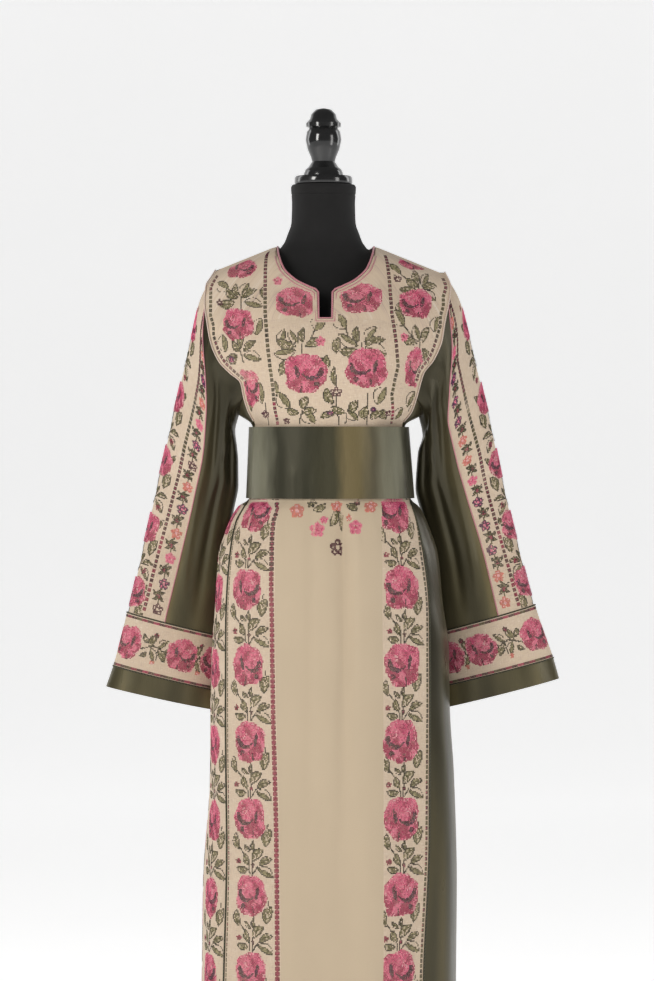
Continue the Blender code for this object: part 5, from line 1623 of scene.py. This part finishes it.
def work_skirt():
    steps = (0.4, 0.003)
    flat, chart = work_band(seam_line(0), seam_line(1), 2.0, 1.0265, -0.0005, 0.058, 0.067)
    outer = edge_line(flat, 0, 0.0040)
    chart.braid(outer, 1, bead_braid(DARK_BEADS, 1, 3, 4))
    edge = edge_line(flat, -1, -0.0052)
    chart.braid(edge, 4, ring_braid)
    work_chart("stitches_band_left", chart, everywhere, steps, 5)
    flat, chart = work_band(seam_line(2), seam_line(3), 4.3, 1.0280, -0.0115, 0.066, 0.071)
    edge = edge_line(flat, -1, -0.0050)
    chart.braid(edge, 2, bead_braid(DARK_BEADS, 2, 3, 4))
    work_chart("stitches_band_right", chart, everywhere, steps, 7)

    flat = Flat(skirt_point, lambda z: np.full_like(z, SEAM_LEFT_BACK), seam_line(0), seam_line(0),
                HEM_Z + 0.001, BELT_BOTTOM_Z - 0.001)
    chart = Chart(flat)
    band_column(chart, -0.041, 1.018, 1, 6.1)
    band_column(chart, -0.122, 0.990, -1, 8.7)
    work_chart("stitches_side_band", chart, lambda a, z: a > SEAM_LEFT_BACK + 1.0,
               steps, 9)

    flat = Flat(skirt_point, seam_line(1), seam_line(2), lambda z: np.full_like(z, 2.0), 0.90, WORKED_HIGH)
    chart = Chart(flat)
    for x, z, heading, length, width in FRONT_LEAVES:
        u, v = flat.find(x, z)
        chart.leaf(u, v, heading, length, width)
    for x, z, size, kind in FRONT_FLOWERS:
        u, v = flat.find(x, z)
        chart.flower(u, v, size, kind)
    work_chart("stitches_front_motif", chart, everywhere, steps, 11)


def mirrored(chart):
    """Copies what is worked in front of the fold to bare cells behind it."""
    fold = int(np.argmin(np.abs(chart.u)))
    for k in range(1, min(fold, len(chart.u) - fold - 1) + 1):
        there = chart.cells[:, fold - k]
        chart.cells[:, fold - k] = np.where(there == BARE, chart.cells[:, fold + k], there)


def work_sleeve(side, name):
    surface = lambda turn, row: sleeve_point(side, turn, row)
    steps = (0.01, 0.02)
    flat = Flat(surface, lambda row: -strip_edge(side, row, True), lambda row: strip_edge(side, row, False),
                np.zeros_like, CUFF_ROW - 0.02, 0.06)
    chart = Chart(flat)
    line = chart.places(SLEEVE_BRAIDS[side])
    chart.braid(line, 3, bead_braid(SLEEVE_BEADS))
    for i, (x, z) in enumerate(SLEEVE_ROSES[side]):
        _, v = flat.find(x, z)
        chart.rose(0.007, v, 0.060, 0.052, 3.0 + side + 1.9 * i)
        for du, dv, heading, length, width, opened in SLEEVE_LEAVES:
            chart.leaf(du, v + dv, heading, length, width, bool(opened))
        chart.stem([(0.007, v - 0.024), (0.012, v - 0.058), (0.008, v - 0.072)])
        chart.flower(0.024, v + 0.036, 0.010, 8)
    us = np.array([place[0] for place in line])[::-1]
    vs = np.array([place[1] for place in line])[::-1]
    previous = None
    for i, v in enumerate(np.arange(0.016, vs[-1] + 0.02, 0.0215)):
        inner = float(np.interp(v, vs, us)) + 0.0035
        outer = float(np.interp(v, flat.v, flat.u[:, -1])) - 0.0020
        if outer - inner < 0.008:
            continue
        u = (inner + outer) / 2 + 0.0020 * (-1) ** i
        here = (u, float(v))
        wide = outer - inner
        if previous:
            chart.stem([previous, here], OLIVE)
        if i % 2 == 0:
            chart.flower(u, float(v), min(0.019, wide), SLEEVE_FLOWERS[side][(i // 2) % 6])
        else:
            for turn, length in ((38, 0.013), (142, 0.013), (-40, 0.012), (218, 0.012), (92, 0.010)):
                chart.leaf(u, float(v), turn, min(length, wide * 0.62), 0.0062, turn > 100)
            chart.flower(u, float(v), 0.006, 8)
        previous = here
    chart.braid([(-u, v) for u, v in line], 3, bead_braid(SLEEVE_BEADS))
    mirrored(chart)
    work_chart("stitches_sleeve_" + name, chart, everywhere, steps, 13 + side,
               side < 0)

    flat = Flat(surface, lambda row: np.full_like(row, -0.995), lambda row: np.full_like(row, 0.995),
                np.zeros_like, CUFF_HEM_ROW - 0.004, CUFF_ROW + 0.008, rows=60, cols=160)
    chart = Chart(flat)
    top = float(flat.v[-1])
    for v in (CELL * 1.9, top - CELL * 1.9):
        for end in (float(flat.u.max()), float(flat.u.min())):
            chart.braid([(0.0, v), (end, v)], 2, plain_braid(CUFF_COLOURS, 5))
    centres = [flat.find(x, z)[0] for x, z in CUFF_ROSES[side]]
    middle = top / 2
    for i, u in enumerate(centres):
        chart.rose(u, middle, 0.052, min(0.056, top - 0.020), 5.0 + side + 2.3 * i)
    for i, (a, b) in enumerate(zip(centres, centres[1:])):
        gap = (b - a) / 2
        mid = (a + b) / 2
        chart.stem([(a + 0.024, middle - 0.006), (mid, middle + 0.004), (b - 0.024, middle - 0.004)])
        for u, v, heading, length, width, opened in (
                (mid - 0.008, middle, 66, 0.025, 0.012, False), (mid - 0.006, middle, -66, 0.025, 0.013, True),
                (mid + 0.006, middle, 50, 0.024, 0.011, True), (mid + 0.006, middle, -50, 0.024, 0.013, False),
                (mid - 0.010, middle + 0.006, 128, 0.017, 0.009, False),
                (mid + 0.016, middle - 0.002, 4, 0.016, 0.008, False),
                (mid - 0.010, middle - 0.008, -138, 0.015, 0.008, False)):
            if gap > 0.02:
                chart.leaf(u, v, heading, length, width, opened)
        chart.flower(mid, middle + 0.022, 0.009, 2)
        chart.flower(mid + 0.002, middle - 0.023, 0.008, 3)
    mirrored(chart)
    work_chart("stitches_cuff_" + name, chart, everywhere, steps, 17 + side, side < 0)


def build_stitches():
    work_bodice()
    work_skirt()
    for side, name in SIDES:
        work_sleeve(side, name)
    bpy.data.objects.remove(bpy.data.objects["stitch"])


# Piping and cords

def tube(name, path, facings, radius, material, closed, sides=8):
    """A round cord along a path, with its length as the UV map."""
    path, facings = np.asarray(path), unit(np.asarray(facings))
    if closed:
        tangents = unit(np.roll(path, -1, axis=0) - np.roll(path, 1, axis=0))
    else:
        tangents = unit(np.gradient(path, axis=0))
    aside = unit(np.cross(tangents, facings))
    up = np.cross(aside, tangents)
    turn = np.linspace(0.0, 2.0 * np.pi, sides, endpoint=False)
    rings = path[:, None] + radius * (aside[:, None] * np.cos(turn)[None, :, None]
                                      + up[:, None] * np.sin(turn)[None, :, None])
    rings = rings + SHIFT
    count = len(path)
    lengths = run_lengths(path)
    index = np.arange(count * sides).reshape(count, sides)
    faces, uvs = [], []
    for i in range(count if closed else count - 1):
        n = (i + 1) % count
        far = lengths[i] + np.linalg.norm(path[n] - path[i])
        for k in range(sides):
            m = (k + 1) % sides
            faces.append([int(index[i, k]), int(index[i, m]), int(index[n, m]), int(index[n, k])])
            low, high = k * radius * 0.8, (k + 1) * radius * 0.8
            uvs += [(lengths[i], low), (lengths[i], high), (far, high), (far, low)]
    if not closed:
        for ring in (index[0, ::-1], index[-1]):
            faces.append([int(v) for v in ring])
            uvs += [(0.0, 0.0)] * sides
    mesh = bpy.data.meshes.new(name)
    mesh.from_pydata(rings.reshape(-1, 3).tolist(), [], faces)
    layer = mesh.uv_layers.new(name="UVMap")
    layer.data.foreach_set("uv", np.array(uvs, dtype=np.float32).ravel())
    mesh.materials.append(material)
    mesh.shade_smooth()
    made = bpy.data.objects.new(name, mesh)
    bpy.context.scene.collection.objects.link(made)
    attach(made, "root")
    return made


def inward(place):
    """The direction of the bodice's cut edge, from the outer face to the inner face."""
    x, y, z = place[..., 0], place[..., 1], place[..., 2]
    level = z + smooth_step(1.16, 1.20, z) * (np.clip(z, 1.24, 1.35) - z)
    aside = np.minimum(np.abs(y) / 0.05, 1.0) ** 2
    aside = np.maximum(aside, np.maximum(smooth_step(1.21, 1.30, z), 1.0 - smooth_step(1.160, 1.176, z)))
    return unit(points(x * (1.0 - 0.28 * aside), 0.0, level) - place)


def neck_edge(back):
    cuts = np.array([row[0] for row in NECKLINE][2 if back else 0:])
    filler = np.linspace(0.012, NECK_HALF - 0.003, 14)
    half = np.unique(np.concatenate([cuts, filler]))
    offsets = np.concatenate([-half[::-1], half])
    return bodice_point(across(offsets), neck_t(offsets, back), back)


def build_trims():
    front, behind = neck_edge(False), neck_edge(True)[::-1][1:-1]
    edge = np.concatenate([front, behind])
    first = unit(edge - np.roll(edge, 1, axis=0))
    second = unit(np.roll(edge, -1, axis=0) - edge)
    facing = unit(edge - points(edge[:, 0] * 0.5, 0.0, 1.33))
    slide = unit(np.cross(facing, first) + np.cross(facing, second))
    path = edge + slide * (PIPING_RADIUS * 1.3 + SEAM) - facing * 0.0006
    piping = tube("neck_piping_twist", path, facing, PIPING_RADIUS, MATERIALS["piping"], True)
    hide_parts("neck_piping")
    outer = front - slide[:len(front)] * 0.0042
    outer = bodice_level(outer[2:-2, 0], np.minimum(outer[2:-2, 2], shoulder_z(outer[2:-2, 0]) - 0.002))
    tube("neck_line", outer, facing[2:len(front) - 2], LINE_RADIUS, MATERIALS["piping"], False)
    for side, name in SIDES:
        ts = np.linspace(1.0, 0.20, 60)
        line = bodice_point(np.full_like(ts, side), ts, False)
        facing = -inward(line)
        made = tube("armhole_twist_" + name, line + facing * 0.0014, facing, TWIST_RADIUS,
                    MATERIALS["cream_piping"], False)
        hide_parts("armhole_piping_" + name)
        surface = lambda turn, row, s=side: sleeve_point(s, turn, row)
        rows = np.linspace(0.02, CUFF_ROW - 0.01, 90)
        for face, label in ((False, "front"), (True, "back")):
            turn = strip_edge(side, rows, face) * (-1.0 if face else 1.0)
            here, _, normal = framed(surface, turn, rows, (0.01, 0.02))
            normal = normal * (-side * -1.0)
            tube("strip_edge_%s_%s" % (name, label), here + normal * 0.0004, normal, LINE_RADIUS,
                 MATERIALS["piping"],
                 False)
        for label, row, host in (("upper", CUFF_ROW, "cuff"), ("lower", CUFF_HEM_ROW + 0.002, "cuff_hem")):
            spread = 0.5 - 0.5 * np.cos(np.pi * np.linspace(0.0, 1.0, 40))
            turn = np.concatenate([spread, -spread[-2:0:-1]])
            here, _, normal = framed(surface, turn, np.full_like(turn, row), (0.01, 0.02))
            normal = normal * (-side * -1.0)
            tube("cuff_cord_%s_%s" % (name, label), here + normal * 0.0003, normal, TWIST_RADIUS,
                 MATERIALS["cord"], True)
    zs = np.linspace(BELT_BOTTOM_Z - 0.004, HEM_Z + 0.001, 150)
    for label, index, host in (("left", 0, "skirt_band_left"), ("right", 3, "skirt_band_right")):
        angle = seam_line(index)(zs)
        here, _, normal = framed(skirt_point, angle, zs, (0.5, 0.003))
        tube("skirt_cord_" + label, here + normal * 0.0008, normal, SKIRT_CORD_RADIUS, MATERIALS["cord"], False)


# Stage, light and view

TARGET = (0.0056, 0.0, 1.0604)
VIEW_HEIGHT = 1.5696
VIEW_DISTANCE = 6.0
CAMERA_HEIGHT = 1.12
BACKDROP_Y = 11.0
BACKDROP_CURVE = 5.0
BACKDROP_HEIGHT = 14.0
BACKDROP_HALF = 16.0


def area_light(name, place, aim, size, power, colour):
    data = bpy.data.lights.new(name, "AREA")
    data.shape = "RECTANGLE"
    data.size, data.size_y = size
    data.energy = power
    data.color = colour
    made = bpy.data.objects.new(name, data)
    bpy.context.scene.collection.objects.link(made)
    made.location = place
    made.rotation_euler = (Vector(aim) - Vector(place)).to_track_quat("-Z", "Y").to_euler()
    return made


def build_stage(settings):
    turn = np.linspace(0.0, np.pi / 2.0, 16)
    profile = [(-14.0, 0.0), (-3.0, 0.0)]
    for a in turn:
        profile.append((BACKDROP_Y + BACKDROP_CURVE * (math.sin(a) - 1.0), BACKDROP_CURVE * (1.0 - math.cos(a))))
    profile.append((BACKDROP_Y, BACKDROP_HEIGHT))
    verts = [(x, y, z) for y, z in profile for x in (-BACKDROP_HALF, BACKDROP_HALF)]
    mesh = bpy.data.meshes.new("backdrop")
    mesh.from_pydata(verts, [], [(2 * i, 2 * i + 1, 2 * i + 3, 2 * i + 2) for i in range(len(profile) - 1)])
    mesh.materials.append(paper_material((0.90, 0.90, 0.90), settings.backdrop_glow))
    mesh.shade_smooth()
    backdrop = bpy.data.objects.new("backdrop", mesh)
    bpy.context.scene.collection.objects.link(backdrop)
    world = bpy.data.worlds.new("studio")
    world.use_nodes = True
    ground = world.node_tree.nodes["Background"]
    ground.inputs[0].default_value = (1.0, 1.0, 1.0, 1.0)
    ground.inputs[1].default_value = settings.ambient
    bpy.context.scene.world = world
    area_light("key", (-2.4, -2.8, 2.4), (0.0, 0.0, 1.1), (0.9, 2.2), settings.key_power, (1.0, 0.98, 0.95))
    area_light("fill", (2.9, -1.9, 1.7), (0.0, 0.0, 1.0), (0.9, 2.4), settings.fill_power, (1.0, 0.98, 0.96))
    area_light("rim_left", (-2.6, 1.2, 2.2), (0.0, 0.0, 1.1), (0.8, 2.2), settings.rim_power, (1.0, 1.0, 1.0))
    area_light("rim_right", (2.6, 1.2, 2.2), (0.0, 0.0, 1.1), (0.8, 2.2), settings.rim_power, (1.0, 1.0, 1.0))
    data = bpy.data.cameras.new("view")
    data.sensor_fit = "VERTICAL"
    data.sensor_height = 24.0
    data.lens = 24.0 * VIEW_DISTANCE / VIEW_HEIGHT
    view = bpy.data.objects.new("view", data)
    bpy.context.scene.collection.objects.link(view)
    view.location = (TARGET[0], -VIEW_DISTANCE, CAMERA_HEIGHT)
    view.rotation_euler = (math.pi / 2.0, 0.0, 0.0)
    data.shift_y = (TARGET[2] - CAMERA_HEIGHT) / VIEW_HEIGHT
    bpy.context.scene.camera = view
    bpy.context.scene.view_settings.view_transform = "Standard"


# Settings, operators and panel

class DRESS_PG_looks(bpy.types.PropertyGroup):
    """Colours of the cloth."""

    linen: FloatVectorProperty(name="Linen", description="Colour of the embroidered ground", subtype="COLOR",
                               size=3, min=0.0, max=1.0, default=(0.71, 0.565, 0.415))
    crepe: FloatVectorProperty(name="Crepe", description="Colour of the plain front", subtype="COLOR",
                               size=3, min=0.0, max=1.0, default=(0.60, 0.482, 0.338))
    satin: FloatVectorProperty(name="Satin", description="Colour of the satin", subtype="COLOR",
                               size=3, min=0.0, max=1.0, default=(0.043, 0.037, 0.020))


class DRESS_PG_form(bpy.types.PropertyGroup):
    """Fineness of the form and its stand."""

    body_sides: IntProperty(name="Body sides", description="Points round the body of the form",
                            min=24, max=256, default=96)
    turned_sides: IntProperty(name="Turned sides", description="Points round the turned parts",
                              min=24, max=256, default=72)


class DRESS_PG_stage(bpy.types.PropertyGroup):
    """Strength of the light."""

    ambient: FloatProperty(name="Ambient", description="Strength of the white surroundings",
                           min=0.0, max=3.0, default=0.16)
    backdrop_glow: FloatProperty(name="Backdrop glow", description="Light given by the backdrop",
                                 min=0.0, max=2.0, default=0.54)
    key_power: FloatProperty(name="Key light", description="Power of the main light", unit="POWER",
                             min=0.0, max=2000.0, default=71.0)
    fill_power: FloatProperty(name="Fill light", description="Power of the softer light", unit="POWER",
                              min=0.0, max=2000.0, default=28.0)
    rim_power: FloatProperty(name="Rim lights", description="Power of the lights behind", unit="POWER",
                             min=0.0, max=2000.0, default=14.0)


class DRESS_PG_settings(bpy.types.PropertyGroup):
    """All settings of the dress."""

    looks: PointerProperty(type=DRESS_PG_looks, name="Looks", description="Colours of the cloth")
    form: PointerProperty(type=DRESS_PG_form, name="Form", description="Form and stand")
    stage: PointerProperty(type=DRESS_PG_stage, name="Stage", description="Floor and light")


class DressOperator:
    """Shared running of the pieces' operators."""

    bl_options = {"REGISTER", "UNDO"}

    def execute(self, context):
        self.build(context.scene.dress_settings)
        return {"FINISHED"}


class DRESS_OT_materials(DressOperator, bpy.types.Operator):
    """Makes the materials of the cloth, thread, form and stand"""

    bl_idname = "dress.materials"
    bl_label = "Make Materials"

    def build(self, settings):
        make_materials(settings.looks)


class DRESS_OT_bodice(DressOperator, bpy.types.Operator):
    """Builds the bodice's front, back and side bodies"""

    bl_idname = "dress.bodice"
    bl_label = "Build Bodice"

    def build(self, settings):
        build_bodice()


class DRESS_OT_belt(DressOperator, bpy.types.Operator):
    """Builds the satin belt"""

    bl_idname = "dress.belt"
    bl_label = "Build Belt"

    def build(self, settings):
        build_belt()


class DRESS_OT_skirt(DressOperator, bpy.types.Operator):
    """Builds the panels of the skirt"""

    bl_idname = "dress.skirt"
    bl_label = "Build Skirt"

    def build(self, settings):
        build_skirt()


class DRESS_OT_sleeves(DressOperator, bpy.types.Operator):
    """Builds the sleeves with their cuffs"""

    bl_idname = "dress.sleeves"
    bl_label = "Build Sleeves"

    def build(self, settings):
        build_sleeves()


class DRESS_OT_trims(DressOperator, bpy.types.Operator):
    """Lays the piping and the cords along the seams"""

    bl_idname = "dress.trims"
    bl_label = "Lay Piping and Cords"

    def build(self, settings):
        build_trims()


class DRESS_OT_stitches(DressOperator, bpy.types.Operator):
    """Works the cross stitch on every embroidered panel"""

    bl_idname = "dress.stitches"
    bl_label = "Work Cross Stitch"

    def build(self, settings):
        build_stitches()


class DRESS_OT_form(DressOperator, bpy.types.Operator):
    """Builds the body of the form, its neck cap, pole and base"""

    bl_idname = "dress.form"
    bl_label = "Build Form"

    def build(self, settings):
        build_form(settings.form.body_sides)
        build_stand(settings.form.turned_sides)


class DRESS_OT_stage(DressOperator, bpy.types.Operator):
    """Sets up the floor, the lights and the camera"""

    bl_idname = "dress.stage"
    bl_label = "Build Stage"

    def build(self, settings):
        build_stage(settings.stage)


OPERATORS = (DRESS_OT_materials, DRESS_OT_bodice, DRESS_OT_belt, DRESS_OT_skirt, DRESS_OT_sleeves,
             DRESS_OT_trims, DRESS_OT_stitches, DRESS_OT_form, DRESS_OT_stage)


class DRESS_PT_panel(bpy.types.Panel):
    """Sidebar panel of the dress"""

    bl_label = "Embroidered Dress"
    bl_idname = "DRESS_PT_panel"
    bl_space_type = "VIEW_3D"
    bl_region_type = "UI"
    bl_category = "Dress"

    def draw(self, context):
        settings = context.scene.dress_settings
        for group in (settings.looks, settings.form, settings.stage):
            box = self.layout.box()
            for key in group.bl_rna.properties.keys():
                if key not in ("rna_type", "name"):
                    box.prop(group, key)
        for operator in OPERATORS:
            self.layout.operator(operator.bl_idname)


CLASSES = (DRESS_PG_looks, DRESS_PG_form, DRESS_PG_stage, DRESS_PG_settings, *OPERATORS, DRESS_PT_panel)


def register():
    for one in CLASSES:
        bpy.utils.register_class(one)
    bpy.types.Scene.dress_settings = PointerProperty(type=DRESS_PG_settings, name="Dress",
                                                     description="Settings of the dress")


def unregister():
    del bpy.types.Scene.dress_settings
    for one in reversed(CLASSES):
        bpy.utils.unregister_class(one)


def main():
    register()
    for operator in OPERATORS:
        group, name = operator.bl_idname.split(".")
        getattr(getattr(bpy.ops, group), name)()


if __name__ == "__main__":
    main()
